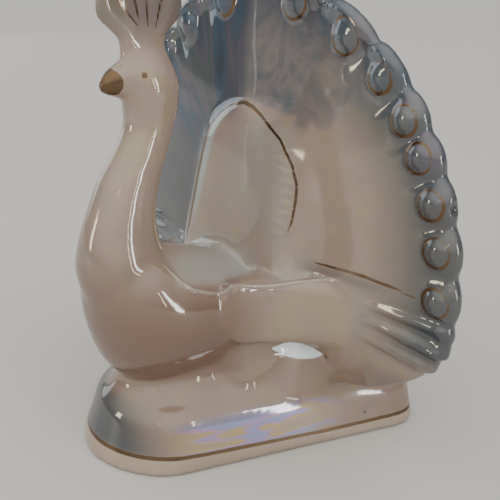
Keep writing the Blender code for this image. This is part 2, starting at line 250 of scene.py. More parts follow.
@dataclass
class Bird:
    """Breast and back, neck and head, beak and crest."""

    # Rows of y, half width, height of the widest point, underside and crown.
    body: Stations = (
        (-51.5, 0.0, 65.0, 65.0, 65.0),
        (-50.5, 8.0, 64.5, 52.5, 76.0),
        (-47.0, 15.2, 63.0, 40.5, 82.0),
        (-41.0, 21.0, 60.5, 32.0, 85.5),
        (-33.0, 25.2, 58.5, 28.0, 86.0),
        (-23.0, 27.6, 57.0, 27.0, 82.5),
        (-10.0, 29.0, 56.0, 26.0, 77.5),
        (2.0, 30.0, 55.0, 25.0, 73.5),
        (16.0, 30.5, 54.0, 25.0, 70.5),
        (31.3, 30.0, 53.0, 25.0, 70.0),
    )
    # Rows of z, y of the middle, half width and half depth.
    neck: Stations = (
        (62.0, -32.0, 17.5, 19.0),
        (72.0, -36.0, 18.0, 17.6),
        (79.5, -37.6, 16.4, 15.9),
        (88.0, -37.6, 13.8, 13.9),
        (97.0, -35.8, 12.2, 12.2),
        (108.0, -31.8, 11.0, 11.0),
        (117.0, -26.8, 9.8, 9.8),
        (124.0, -23.6, 9.1, 9.2),
        (130.0, -22.4, 9.6, 9.8),
        (136.5, -22.2, 10.2, 10.6),
        (142.5, -22.8, 9.4, 10.4),
        (147.0, -23.6, 6.9, 9.5),
        (150.5, -24.0, 4.9, 8.7),
        (153.5, -24.2, 4.1, 8.2),
        (157.5, -24.2, 3.6, 8.2),
    )
    # Rows of y, z of the middle, half width and half height.
    beak: Stations = (
        (-24.0, 141.4, 7.0, 7.6),
        (-30.0, 141.2, 6.6, 7.2),
        (-34.5, 141.0, 5.2, 6.0),
        (-38.5, 140.4, 3.6, 4.2),
        (-41.0, 139.6, 1.9, 2.4),
        (-42.2, 139.0, 0.7, 1.0),
    )
    # Rows of z, y of the middle, half width and half depth.
    mound: Stations = (
        (14.0, 0.0, 32.0, 47.0),
        (22.0, -1.0, 29.0, 44.0),
        (26.0, -1.0, 26.0, 41.0),
        (30.0, -1.0, 23.4, 38.2),
        (34.0, 0.0, 22.4, 36.5),
        (42.0, 2.0, 22.0, 33.0),
    )
    # Rows of y, the ridge's x and z, and how far the section follows the ridge.
    shoulder: Stations = (
        (-52.0, 12.0, 80.0, 0.0),
        (-36.0, 14.0, 82.0, 0.0),
        (-29.5, 18.1, 77.4, 1.0),
        (-26.3, 21.4, 73.4, 1.0),
        (-22.9, 23.4, 70.5, 1.0),
        (-18.7, 24.9, 68.1, 1.0),
        (-14.9, 25.8, 66.7, 1.0),
        (-11.1, 26.3, 65.6, 1.0),
        (4.0, 26.5, 65.0, 1.0),
        (32.0, 26.5, 64.5, 1.0),
    )
    # Rows of z, y of the middle, half width and half depth.
    flank: Stations = (
        (14.0, 12.0, 37.0, 30.0),
        (22.0, 11.0, 34.5, 27.0),
        (28.0, 10.5, 32.5, 24.5),
        (35.0, 10.0, 31.2, 22.5),
        (42.0, 10.0, 31.0, 21.0),
        (48.0, 10.0, 30.5, 19.0),
    )
    # Heights and half widths of the crest, then the places of its grooves from -1 to 1 across.
    crest_root: float = 147.0
    crest_height: float = 35.9
    crest_middle: float = -24.6
    crest_root_half: float = 8.2
    crest_tip_half: float = 17.4
    crest_thickness: float = 7.3
    crest_grooves: tuple[float, ...] = (-1.0, -0.58, -0.22, 0.07, 0.43, 1.0)
    crest_sag: float = 0.26
    crest_lobe: float = 0.06
    crest_groove: float = 0.34
    crest_flare: tuple[float, float] = (0.22, 0.66)
    side_share: float = 0.4
    back_power: float = 1.5

    def ridged(
        self, turned: Array, half: float, middle: float, top: float, ridge: Array
    ) -> tuple[Array, Array]:
        """Draws half a section of the back, from its widest point up to the ridge and on to the crown.

        Up to the ridge x falls with the square of the way and z rises evenly; past it, with u from 0 to 1,
        x = ridge x (1 - u) and z = ridge z + (top - ridge z) (1 - (1 - u)^p), with the back's power p.

        Args:
            turned: The way round, from 0 at the widest point to 1 at the crown.
            half: The half width.
            middle: The height of the widest point.
            top: The height of the crown.
            ridge: The ridge's x and z.

        Returns:
            The x and z of the section.
        """
        side = np.clip(turned / self.side_share, 0, 1)
        back = np.clip((turned - self.side_share) / (1 - self.side_share), 0, 1)
        x = np.where(back > 0, ridge[0] * (1 - back), half - (half - ridge[0]) * side**2)
        rise = (top - ridge[1]) * (1 - (1 - back) ** self.back_power)
        return x, np.where(back > 0, ridge[1] + rise, middle + (ridge[1] - middle) * side)

    def trunk(self) -> Shell:
        """Sweeps upright ovals along Y, which gain a ridge on each side of the back behind the neck.

        An oval is x = half width cos a and z = middle + reach sin a, mixed with the ridged section by the
        ridge's share.

        Returns:
            The closed surface.
        """
        cosine, sine = turn(160)
        turned = np.arctan2(np.abs(sine), np.abs(cosine)) * 2 / math.pi
        fine = smooth_table(self.shoulder, 200)
        rings = []
        for y, half, middle, under, top in smooth_table(self.body, 110):
            ridge = np.array([np.interp(y, fine[:, 0], fine[:, column]) for column in (1, 2, 3)])
            reach = np.where(sine > 0, top - middle, middle - under)
            ridged_x, ridged_z = self.ridged(turned, half, middle, top, ridge)
            share = np.where(sine > 0, np.clip(ridge[2], 0, 1), 0)
            x = half * cosine * (1 - share) + np.sign(cosine) * ridged_x * share
            z = (middle + reach * sine) * (1 - share) + ridged_z * share
            rings.append(place(x, y, z))
        rings[0] = rings[0].mean(0) + 0.02 * (rings[1] - rings[1].mean(0))
        return closed_loft(np.array(rings))

    def level_ovals(self, stations: Stations, count: int, sides: int) -> Shell:
        """Stacks level ovals, x = half width cos a and y = middle + half depth sin a.

        Args:
            stations: Rows of height, middle, half width and half depth.
            count: How many ovals there are.
            sides: How many points an oval has.

        Returns:
            The closed surface.
        """
        cosine, sine = turn(sides)
        rows = smooth_table(stations, count)
        return closed_loft(
            np.array([place(width * cosine, middle + depth * sine, z) for z, middle, width, depth in rows])
        )

    def bill(self) -> Shell:
        """Shrinks upright ovals along -Y to the beak's tip.

        An oval is x = half width cos a and z = middle + half height sin a.

        Returns:
            The closed surface.
        """
        cosine, sine = turn(48)
        rows = smooth_table(self.beak, 40)
        return closed_loft(np.array([place(w * cosine, y, z + h * sine) for y, z, w, h in rows]))

    def flutes(self, across: Array) -> Array:
        """Gives 0 in the crest's grooves and 1 along its feathers' backs, as |sin| from groove to groove.

        Args:
            across: Places across the crest, from -1 to 1.

        Returns:
            Values from 0 to 1.
        """
        grooves = np.array(self.crest_grooves)
        nearest = np.clip(np.searchsorted(grooves, across, side="right") - 1, 0, len(grooves) - 2)
        share = (across - grooves[nearest]) / (grooves[nearest + 1] - grooves[nearest])
        return np.abs(np.sin(math.pi * np.clip(share, 0, 1)))

    def crest(self) -> Shell:
        """Fans a fluted plate out of the head.

        Across u runs from -1 to 1 and up v from 0 to 1. y = middle + u half(v), z = root + height(u) v, and
        the half thickness is half the plate's, times sqrt(1 - u^6), the flutes' share and the tip's round,
        which is sqrt(1 - v^8).

        Returns:
            The closed surface.
        """
        across = np.linspace(-1.0, 1.0, 121)
        flute = self.flutes(across)
        lobe = 1 - self.crest_lobe * (1 - flute)
        height = self.crest_height * (1 - self.crest_sag * across**2) * lobe
        edge = np.sqrt(np.clip(1 - across**6, 0, 1))
        rings = []
        for share in np.linspace(0.0, 1.0, 50):
            flare = float(smoothstep(np.array(share), *self.crest_flare))
            half = self.crest_root_half + (self.crest_tip_half - self.crest_root_half) * flare
            tip = max(math.sqrt(max(0.0, 1 - share**8)), 0.05)
            groove = 1 - self.crest_groove * min(1.0, 1.6 * share) * (1 - flute)
            depth = self.crest_thickness / 2 * edge * groove * tip
            y = self.crest_middle + across * half
            z = self.crest_root + height * share
            rings.append(np.vstack([place(depth, y, z), place(-depth, y, z)[::-1][1:-1]]))
        return closed_loft(np.array(rings))

    def shells(self) -> list[Shell]:
        """Gives the bird's closed surfaces."""
        return [
            self.level_ovals(self.mound, 30, 160),
            squared_slices(self.flank, 30, 0.5, 0.14),
            self.trunk(),
            self.level_ovals(self.neck, 120, 96),
            self.bill(),
            self.crest(),
        ]


@dataclass
class Tail:
    """The raised fan with its eyes, the rump in front of it, the wings and the foot that carries it."""

    radius: float = 0.0963 / UNIT
    thickness: float = 0.0062 / UNIT
    back_swell: float = 0.0060 / UNIT
    middle_z: float = 76.0
    front_y: float = 27.2
    front_swell: float = 8.4
    lip_forward: float = 2.6
    lip_from: float = 0.92
    scallop: float = 0.022
    top_lip: float = 2.8
    top_growth: float = 0.016
    top_angles: tuple[float, float] = (38.0, 56.0)
    # The ring of eyes: its share of the radius, and each eye's rise, angle and radius.
    eye_share: float = 0.925
    eye_rise: float = 0.0030 / UNIT
    eye_angles: tuple[float, ...] = (13.0, 30.6, 43.2, 53.5, 61.5, 71.0, 80.5, 91.0)
    eye_radii: tuple[float, ...] = (6.1, 6.1, 5.0, 4.9, 4.9, 4.9, 4.9, 4.9)
    right_wing_drop: float = 7.0
    rump_flare: float = 4.0
    rump_flare_from: tuple[float, float] = (98.0, 66.0)
    rump_square: float = 0.55
    rump_root: float = 3.2
    wing_root: float = 3.6
    wing_depth: float = 7.0
    wing_depth_share: float = 0.8
    wing_square: float = 0.8
    # Rows of x and the power that squares the wing's front there.
    wing_powers: Stations = ((34.0, 0.45), (62.0, 1.2))
    # Rows of degrees from straight up and the reach as a share of the radius.
    lower: Stations = (
        (95.0, 1.0),
        (102.6, 0.985),
        (108.8, 0.940),
        (114.0, 0.895),
        (122.0, 0.820),
        (131.0, 0.735),
        (140.0, 0.670),
        (153.0, 0.600),
        (180.0, 0.580),
    )
    # Rows of z, half width and height off the fan's front.
    rump: Stations = (
        (56.0, 34.0, 12.0),
        (66.0, 34.0, 11.0),
        (78.0, 33.4, 9.5),
        (88.0, 33.0, 7.8),
        (99.0, 31.8, 6.2),
        (109.0, 29.0, 5.2),
        (118.0, 22.5, 4.4),
        (124.0, 15.0, 3.6),
        (127.6, 8.0, 2.6),
        (129.2, 2.5, 1.0),
    )
    # Rows of x, y of the front, underside and top.
    wing: Stations = (
        (22.0, -10.5, 45.0, 69.0),
        (29.0, -10.5, 45.0, 69.8),
        (31.2, -9.0, 44.5, 69.4),
        (33.2, -2.0, 43.5, 68.4),
        (37.5, 8.0, 42.5, 68.4),
        (45.0, 15.5, 41.5, 69.6),
        (56.0, 20.0, 41.0, 70.6),
        (70.0, 23.4, 41.5, 70.6),
        (82.0, 25.2, 44.0, 69.5),
        (91.0, 26.8, 50.0, 67.0),
    )
    # Rows of z, y of the middle, half width and half depth.
    foot: Stations = (
        (14.0, 37.0, 47.5, 34.0),
        (20.0, 36.0, 47.5, 33.0),
        (25.0, 34.0, 48.5, 28.0),
        (31.0, 29.5, 54.0, 15.0),
        (38.0, 27.4, 64.0, 8.0),
        (46.0, 27.6, 74.0, 4.8),
    )

    def dips(self) -> Array:
        """Gives the angles of the dips between lobes, midway between neighbouring eyes.

        Returns:
            Degrees from straight up, from the top dip down one side.
        """
        eyes = np.array(self.eye_angles)
        between = (eyes[1:] + eyes[:-1]) / 2
        return np.concatenate([[0.0], between, [2 * eyes[-1] - between[-1]]])

    def lobes(self, angle: Array) -> Array:
        """Gives |sin| between the dips: 0 in each dip, 1 on each lobe and past the last one.

        Args:
            angle: Degrees from straight up.

        Returns:
            Values from 0 to 1.
        """
        size = np.abs(angle)
        dips = self.dips()
        nearest = np.clip(np.searchsorted(dips, size) - 1, 0, len(dips) - 2)
        share = (size - dips[nearest]) / (dips[nearest + 1] - dips[nearest])
        return np.where(size < dips[-1], np.abs(np.sin(math.pi * np.clip(share, 0, 1))), 1.0)

    def top(self, angle: Array) -> Array:
        """Gives how far the rim is shaped as at the top: 1 there, falling to 0 down the sides."""
        return smoothstep(np.abs(angle), self.top_angles[1], self.top_angles[0])

    def edge(self, angle: Array) -> Array:
        """Gives the fan's reach: its radius, a little more at the top and less in the dips and below.

        Args:
            angle: Degrees from straight up.

        Returns:
            The distances from the fan's middle to its edge.
        """
        size = np.abs(angle)
        fine = smooth_table(self.lower, 120)
        top = 1 + self.top_growth * self.top(angle)
        scale = np.where(size < self.dips()[-1], top, np.interp(size, fine[:, 0], fine[:, 1]))
        return self.radius * scale * (1 - self.scallop * (1 - self.lobes(angle)))

    def share(self, x: Array, z: Array) -> Array:
        """Gives the distance from the fan's middle as a share of its radius."""
        return np.hypot(x, z - self.middle_z) / self.radius

    def lip(self, x: Array, z: Array) -> Array:
        """Gives how far the rim leans forward, as the square of the way from lip_from to the edge."""
        forward = self.lip_forward + self.top_lip * self.top(np.degrees(np.arctan2(x, z - self.middle_z)))
        return forward * np.clip((self.share(x, z) - self.lip_from) / (1 - self.lip_from), 0, 1) ** 2

    def front(self, x: Array, z: Array) -> Array:
        """Gives Y of the fan's front, which swells by (1 - r^2)^1.5 and leans forward at the lip."""
        swell = self.front_swell * np.clip(1 - self.share(x, z) ** 2, 0, 1) ** 1.5
        return self.front_y - swell - self.lip(x, z)

    def back(self, x: Array, z: Array) -> Array:
        """Gives Y of the fan's back: a wall behind the flat sheet, swollen by 1 - r^2."""
        swell = self.back_swell * np.clip(1 - self.share(x, z) ** 2, 0, 1)
        return self.front_y - self.lip(x, z) + self.thickness + swell

    def disc(self) -> Shell:
        """Runs rings out over the front, half a turn round the rim and in over the back.

        A ring is x = share reach sin a and z = middle + share reach cos a, and round the rim the reach
        grows by rim sin b and Y by rim (1 - cos b).

        Returns:
            The closed surface.
        """
        degrees = np.linspace(-180.0, 180.0, 520, endpoint=False)
        angles = np.radians(degrees)
        rim = self.thickness / 2
        reach = self.edge(degrees) - rim
        outward = np.stack([np.sin(angles), np.cos(angles)])
        rings = []
        for share in np.linspace(0.03, 1.0, 40):
            x, z = outward * reach * share
            z = z + self.middle_z
            rings.append(place(x, self.front(x, z), z))
        edge = rings[-1]
        spread = np.stack([np.sin(angles), 0 * angles, np.cos(angles)], 1) * rim * UNIT
        for turned in np.radians(np.linspace(20.0, 180.0, 9)):
            back = np.array([0.0, rim * UNIT * (1 - math.cos(turned)), 0.0])
            rings.append(edge + spread * math.sin(turned) + back)
        for share in np.linspace(0.97, 0.03, 34):
            x, z = outward * reach * share
            z = z + self.middle_z
            rings.append(place(x, self.back(x, z), z))
        return closed_loft(np.array(rings))

    def saddle(self) -> Shell:
        """Stacks the rump's level slices, squared by their power, with their root inside the wall.

        Towards the wings each slice widens by rump_flare, along 3 t^2 - 2 t^3 between two heights.

        Returns:
            The closed surface.
        """
        cosine, sine = turn(160)
        rings = []
        for z, half, rise in smooth_table(self.rump, 90):
            flare = self.rump_flare * float(smoothstep(np.array(z), *self.rump_flare_from))
            x = (half + flare) * rounded(cosine, self.rump_square)
            bulge = rise * np.abs(sine) ** self.rump_square
            y = np.where(sine < 0, self.front(x, z) - bulge, self.front_y + self.rump_root * sine)
            rings.append(place(x, y, z))
        return closed_loft(np.array(rings))

    def beads(self) -> list[Shell]:
        """Sets a flattened ball at each eye: the height off the front is eye_rise sin b at latitude b.

        Returns:
            A closed surface for each eye.
        """
        cosine, sine = turn(40)
        latitudes = np.radians(np.linspace(-88.0, 88.0, 25))
        shells = []
        for side in Side:
            for degrees, radius in zip(self.eye_angles, self.eye_radii):
                turned = math.radians(degrees) * side.value
                x = self.radius * self.eye_share * math.sin(turned)
                z = self.middle_z + self.radius * self.eye_share * math.cos(turned)
                y = float(self.front(np.array(x), np.array(z)))
                rings = [
                    place(
                        x + radius * math.cos(b) * cosine,
                        y - self.eye_rise * math.sin(b),
                        z + radius * math.cos(b) * sine,
                    )
                    for b in latitudes
                ]
                shells.append(closed_loft(np.array(rings)))
        return shells

    def wing_shell(self, side: Side) -> Shell:
        """Lofts one wing outwards, with a squarish front by the body and a soft one by the fan.

        With t from -90 to 90 degrees, y = front + depth (1 - cos^p t) and z = middle + half height times
        sin t to the square's power; p grows outwards.

        Args:
            side: Which wing it is.

        Returns:
            The closed surface.
        """
        steps = np.radians(np.linspace(-90.0, 90.0, 41))
        back = self.front_y + self.wing_root
        places, powers = zip(*self.wing_powers)
        rings = []
        for x, front, under, top in smooth_table(self.wing, 110):
            power = np.interp(x, places, powers)
            if side is Side.RIGHT:
                top -= self.right_wing_drop
            middle = (under + top) / 2
            half = (top - under) / 2
            depth = min(self.wing_depth, self.wing_depth_share * (back - front))
            y = front + depth * (1 - np.clip(np.cos(steps), 0, 1) ** power)
            z = middle + half * rounded(np.sin(steps), self.wing_square)
            rear = place(side.value * x, back, np.linspace(top, under, 12))
            rings.append(np.vstack([place(side.value * x, y, z), rear]))
        return closed_loft(np.array(rings))

    def shells(self) -> list[Shell]:
        """Gives the tail's closed surfaces."""
        wings = [self.wing_shell(side) for side in Side]
        return [self.disc(), self.saddle(), squared_slices(self.foot, 40, 0.5, 0.18), *wings, *self.beads()]


@dataclass
class Skin:
    """The fused surface: points in metres, four-sided faces and the edges between the points."""

    points: Array
    quads: Array
    edges: Array

    def normals(self) -> Array:
        """Averages the faces' normals at the points; a face's is the cross product of its diagonals.

        Returns:
            Rows of unit length.
        """
        corners = self.points[self.quads]
        faces = np.cross(corners[:, 2] - corners[:, 0], corners[:, 3] - corners[:, 1])
        total = np.zeros_like(self.points)
        for axis in range(3):
            weights = np.repeat(faces[:, axis], 4)
            total[:, axis] = np.bincount(self.quads.ravel(), weights, len(self.points))
        return total / np.maximum(np.linalg.norm(total, axis=1, keepdims=True), 1e-20)

    def pull(self) -> Array:
        """Gives the way from each point to the mean of its neighbours.

        Returns:
            Rows of x, y and z, in metres.
        """
        first, second = self.edges.T
        count = len(self.points)
        degree = np.bincount(self.edges.ravel(), minlength=count)
        total = np.empty_like(self.points)
        for axis in range(3):
            column = self.points[:, axis]
            total[:, axis] = np.bincount(first, column[second], count)
            total[:, axis] += np.bincount(second, column[first], count)
        return total / degree[:, None] - self.points

    def fillet(self, rounds: int, fill: Array, wear: float | Array) -> None:
        """Fills creases and barely wears ridges: each round moves a point by its pull times fill or wear.

        Args:
            rounds: How many times.
            fill: The share of the pull taken where the surface is hollow, for each point.
            wear: The share taken where it is not, one for all points or one for each.
        """
        for number in range(rounds):
            if number % 3 == 0:
                normals = self.normals()
            pull = self.pull()
            hollow = np.einsum("ij,ij->i", pull, normals)
            self.points = self.points + pull * np.where(hollow > 0, fill, wear)[:, None]


def fused(shells: list[Shell], voxel: float) -> Skin:
    """Joins closed surfaces into one skin by remeshing their union on a grid.

    Args:
        shells: The surfaces, which may cut through each other.
        voxel: The grid's spacing, in metres.

    Returns:
        The skin.
    """
    points, quads, triangles, start = [], [], [], 0
    for shell in shells:
        points.append(shell.points)
        quads.append(shell.quads + start)
        triangles.append(shell.triangles + start)
        start += len(shell.points)
    mesh = bpy.data.meshes.new("shells")
    faces = np.vstack(quads).tolist() + np.vstack(triangles).tolist()
    mesh.from_pydata(np.vstack(points).tolist(), [], faces)
    mesh.update()
    obj = bpy.data.objects.new("shells", mesh)
    bpy.context.scene.collection.objects.link(obj)
    modifier = obj.modifiers.new("union", "REMESH")
    modifier.mode = "VOXEL"
    modifier.voxel_size = voxel
    bpy.context.view_layer.update()
    evaluated = obj.evaluated_get(bpy.context.evaluated_depsgraph_get())
    result = evaluated.to_mesh()
    skin = Skin(read_floats(result.vertices, "co", 3), read_faces(result), read_edges(result))
    evaluated.to_mesh_clear()
    bpy.data.objects.remove(obj, do_unlink=True)
    bpy.data.meshes.remove(mesh)
    return skin


def read_floats(items: bpy.types.bpy_prop_collection, name: str, width: int) -> Array:
    """Reads one float property of many items.

    Args:
        items: The items, such as a mesh's points.
        name: The property.
        width: How many numbers it has.

    Returns:
        A row for each item.
    """
    values = np.empty(len(items) * width, np.float32)
    items.foreach_get(name, values)
    return values.reshape(-1, width).astype(float)


def read_faces(mesh: bpy.types.Mesh) -> Array:
    """Reads the faces of a mesh that has only four-sided ones.

    Args:
        mesh: The mesh.

    Returns:
        Rows of four indices.
    """
    values = np.empty(len(mesh.loops), np.int32)
    mesh.loops.foreach_get("vertex_index", values)
    return values.reshape(-1, 4)


def read_edges(mesh: bpy.types.Mesh) -> Array:
    """Reads the edges of a mesh.

    Args:
        mesh: The mesh.

    Returns:
        Pairs of indices.
    """
    values = np.empty(len(mesh.edges) * 2, np.int32)
    mesh.edges.foreach_get("vertices", values)
    return values.reshape(-1, 2)


def path_gap(points: Array, path: Stations, with_width: bool = False) -> Array | tuple[Array, Array]:
    """Measures how far points are outside a brush stroke.

    The stroke is a row of straight pieces; the gap is the distance to the nearest piece less the half
    width there, and is below zero inside the stroke.

    Args:
        points: Points in the stroke's plane or in space.
        path: Rows of a point followed by the stroke's half width.
        with_width: Whether the half width at the nearest place is wanted too.

    Returns:
        The gap in figure units, and the half width if it is wanted.
    """
    rows = np.array(path, float)
    gap = np.full(len(points), NO_STROKE)
    width = np.full(len(points), rows[0, -1])
    for start, end in zip(rows[:-1], rows[1:]):
        along = end[:-1] - start[:-1]
        share = np.clip((points - start[:-1]) @ along / (along @ along), 0, 1)
        distance = np.linalg.norm(points - start[:-1] - share[:, None] * along, axis=1)
        half = start[-1] + share * (end[-1] - start[-1])
        width = np.where(distance - half < gap, half, width)
        gap = np.minimum(gap, distance - half)
    return (gap, width) if with_width else gap


class Measure(Enum):
    """What the soft edge of a patch is measured along."""

    ACROSS = "x, to the bird's left"
    SIDE = "the size of x"
    BACK = "y, towards the tail"
    UP = "z, from the table"
    REACH = "the distance from the fan's middle as a share of its radius"
    INSIDE = "x from the left line of the arch"

    def edge(self, low: float, high: float) -> "Edge":
        """Gives a soft edge along this measure, 0 at low and 1 at high."""
        return Edge(self, low, high)


@dataclass(frozen=True)
class Edge:
    """One soft edge of a patch: it goes from 0 at low to 1 at high, and low may be the larger of the two."""

    along: Measure
    low: float
    high: float


ACROSS, SIDE, BACK, UP, REACH, INSIDE = Measure
Places = dict[Measure, Array]


@dataclass(frozen=True)
class Patch:
    """A soft-edged patch of the surface: its strength times the 3 t^2 - 2 t^3 of each of its edges."""

    strength: float
    edges: tuple[Edge, ...]

    def share(self, places: Places) -> Array:
        """Works out the patch's share at each point.

        Args:
            places: The points' measures.

        Returns:
            Values from 0 to the strength.
        """
        share = np.full(len(places[UP]), self.strength)
        for edge in self.edges:
            share = share * smoothstep(places[edge.along], edge.low, edge.high)
        return share


def figure(points: Array) -> Array:
    """Turns metres back into figure units."""
    return points / UNIT + np.array([0.0, BIRD_SETBACK, 0.0])


def survey(points: Array, tail: Tail) -> Places:
    """Measures points of the skin.

    Args:
        points: The points in figure units.
        tail: The tail, whose middle and radius give the reach.

    Returns:
        Every measure but INSIDE, which only the paint needs.
    """
    x, y, z = points.T
    return {ACROSS: x, SIDE: np.abs(x), BACK: y, UP: z, REACH: tail.share(x, z)}


@dataclass
class Relief:
    """Fine relief that is pressed out of the fused skin along its normals."""

    tail: Tail
    # The heights of the grooves between the tail's flutes.
    flute_rows: tuple[float, ...] = (46.2, 53.8, 61.4, 69.0)
    flute_height: float = 2.3
    flute_power: float = 2.4
    fine_flutes: float = 0.12
    flute_slope: float = 0.17
    flute_slope_middle: float = 84.0
    flute_slope_from: tuple[float, float] = (66.0, 56.0)
    flute_bottom: tuple[float, float] = (45.0, 47.0)
    flute_top: tuple[float, float] = (69.5, 67.0)
    flute_area: Patch = Patch(1.0, (SIDE.edge(58.0, 82.0), SIDE.edge(100.0, 94.0), BACK.edge(33.0, 29.0)))
    valley_depth: float = 0.9
    valley_width: float = 0.75
    valley_area: Patch = Patch(1.0, (REACH.edge(0.80, 0.95), BACK.edge(33.0, 30.0)))
    valley_end: tuple[float, float] = (97.0, 94.0)
    # The hollow under a wing: rows of the size of x, y, z and half width.
    hollow: Stations = (
        (30.8, 8.6, 39.0, 0.25),
        (32.0, 14.0, 37.6, 2.6),
        (35.0, 18.6, 36.5, 3.3),
        (41.8, 20.4, 37.8, 2.3),
        (47.2, 21.0, 38.8, 0.2),
    )
    hollow_depth: float = 0.7
    # The line of the feather marks: rows of x, z and half width.
    marks: Stations = ((24.0, 112.5, 0.0), (28.6, 103.0, 0.0), (29.4, 96.0, 0.0), (28.2, 86.0, 0.0))
    mark_height: float = 0.30
    mark_step: float = 3.8
    mark_reach: float = 2.2
    mark_area: Patch = Patch(1.0, (BACK.edge(24.0, 21.0), BACK.edge(8.0, 10.0)))
    # Rows of x, y, z and radius.
    pits: Stations = ((95.0, 29.2, 105.9, 1.5), (47.6, 21.0, 38.0, 1.0), (52.5, 40.2, 9.2, 0.45))
    pit_depth: float = 1.2

    def tail_flutes(self, places: Places) -> Array:
        """Raises the feathers at the fan's lower corners as ribs that fade in from the wing.

        Between two rows a rib is |sin| to the flute's power, so its back is narrow; a finer ribbing of
        |sin| of three times the way lies over it. Below the wing the rows slope with the size of x.

        Args:
            places: The points' measures.

        Returns:
            The height at each point, in figure units.
        """
        rows = np.array(self.flute_rows)
        slope = self.flute_slope * (places[SIDE] - self.flute_slope_middle)
        level = places[UP] + slope * smoothstep(places[UP], *self.flute_slope_from)
        nearest = np.clip(np.searchsorted(rows, level) - 1, 0, len(rows) - 2)
        share = np.clip((level - rows[nearest]) / (rows[nearest + 1] - rows[nearest]), 0, 1)
        fade = smoothstep(level, *self.flute_bottom) * smoothstep(level, *self.flute_top)
        rib = np.abs(np.sin(math.pi * share)) ** self.flute_power
        rib = rib + self.fine_flutes * np.abs(np.sin(3 * math.pi * share))
        return self.flute_height * (rib - 0.5) * fade * self.flute_area.share(places)

    def fan_valleys(self, places: Places) -> Array:
        """Sinks a short valley from each dip of the rim inwards, past the eyes.

        A valley's depth is the square of 1 - lobe / width, where lobe is 0 in a dip and 1 on a lobe.

        Args:
            places: The points' measures.

        Returns:
            The height at each point, in figure units.
        """
        angle = np.degrees(np.arctan2(places[ACROSS], places[UP] - self.tail.middle_z))
        valley = np.clip(1 - self.tail.lobes(angle) / self.valley_width, 0, 1) ** 2
        fade = self.valley_area.share(places) * smoothstep(np.abs(angle), *self.valley_end)
        return -self.valley_depth * valley * fade

    def scoops(self, places: Places) -> Array:
        """Sinks the long hollow under each wing and the small pits of the casting.

        The hollow's section is 1 - (d / half width)^2, and a pit's is exp(-(d / radius)^2).

        Args:
            places: The points' measures.

        Returns:
            The height at each point, in figure units.
        """
        gap, width = path_gap(np.stack([places[SIDE], places[BACK], places[UP]], 1), self.hollow, True)
        lift = -self.hollow_depth * np.clip(1 - ((gap + width) / width) ** 2, 0, 1)
        points = np.stack([places[ACROSS], places[BACK], places[UP]], 1)
        for *centre, radius in self.pits:
            away = np.linalg.norm(points - np.array(centre), axis=1)
            lift = lift - self.pit_depth * radius * np.exp(-((away / radius) ** 2))
        return lift

    def feather_marks(self, places: Places) -> Array:
        """Embosses a row of small marks inside the arch's right side, as cos(2 pi z / step).

        Args:
            places: The points' measures.

        Returns:
            The height at each point, in figure units.
        """
        gap = path_gap(np.stack([places[ACROSS], places[UP]], 1), self.marks)
        fade = np.exp(-((gap / self.mark_reach) ** 2)) * self.mark_area.share(places)
        return self.mark_height * np.cos(2 * math.pi * places[UP] / self.mark_step) * fade

    def press(self, skin: Skin) -> None:
        """Moves the skin's points along their normals by the sum of the reliefs.

        Args:
            skin: The skin, which is changed.
        """
        places = survey(figure(skin.points), self.tail)
        lift = self.tail_flutes(places) + self.fan_valleys(places)
        lift = lift + self.scoops(places) + self.feather_marks(places)
        skin.points = skin.points + skin.normals() * (lift * UNIT)[:, None]


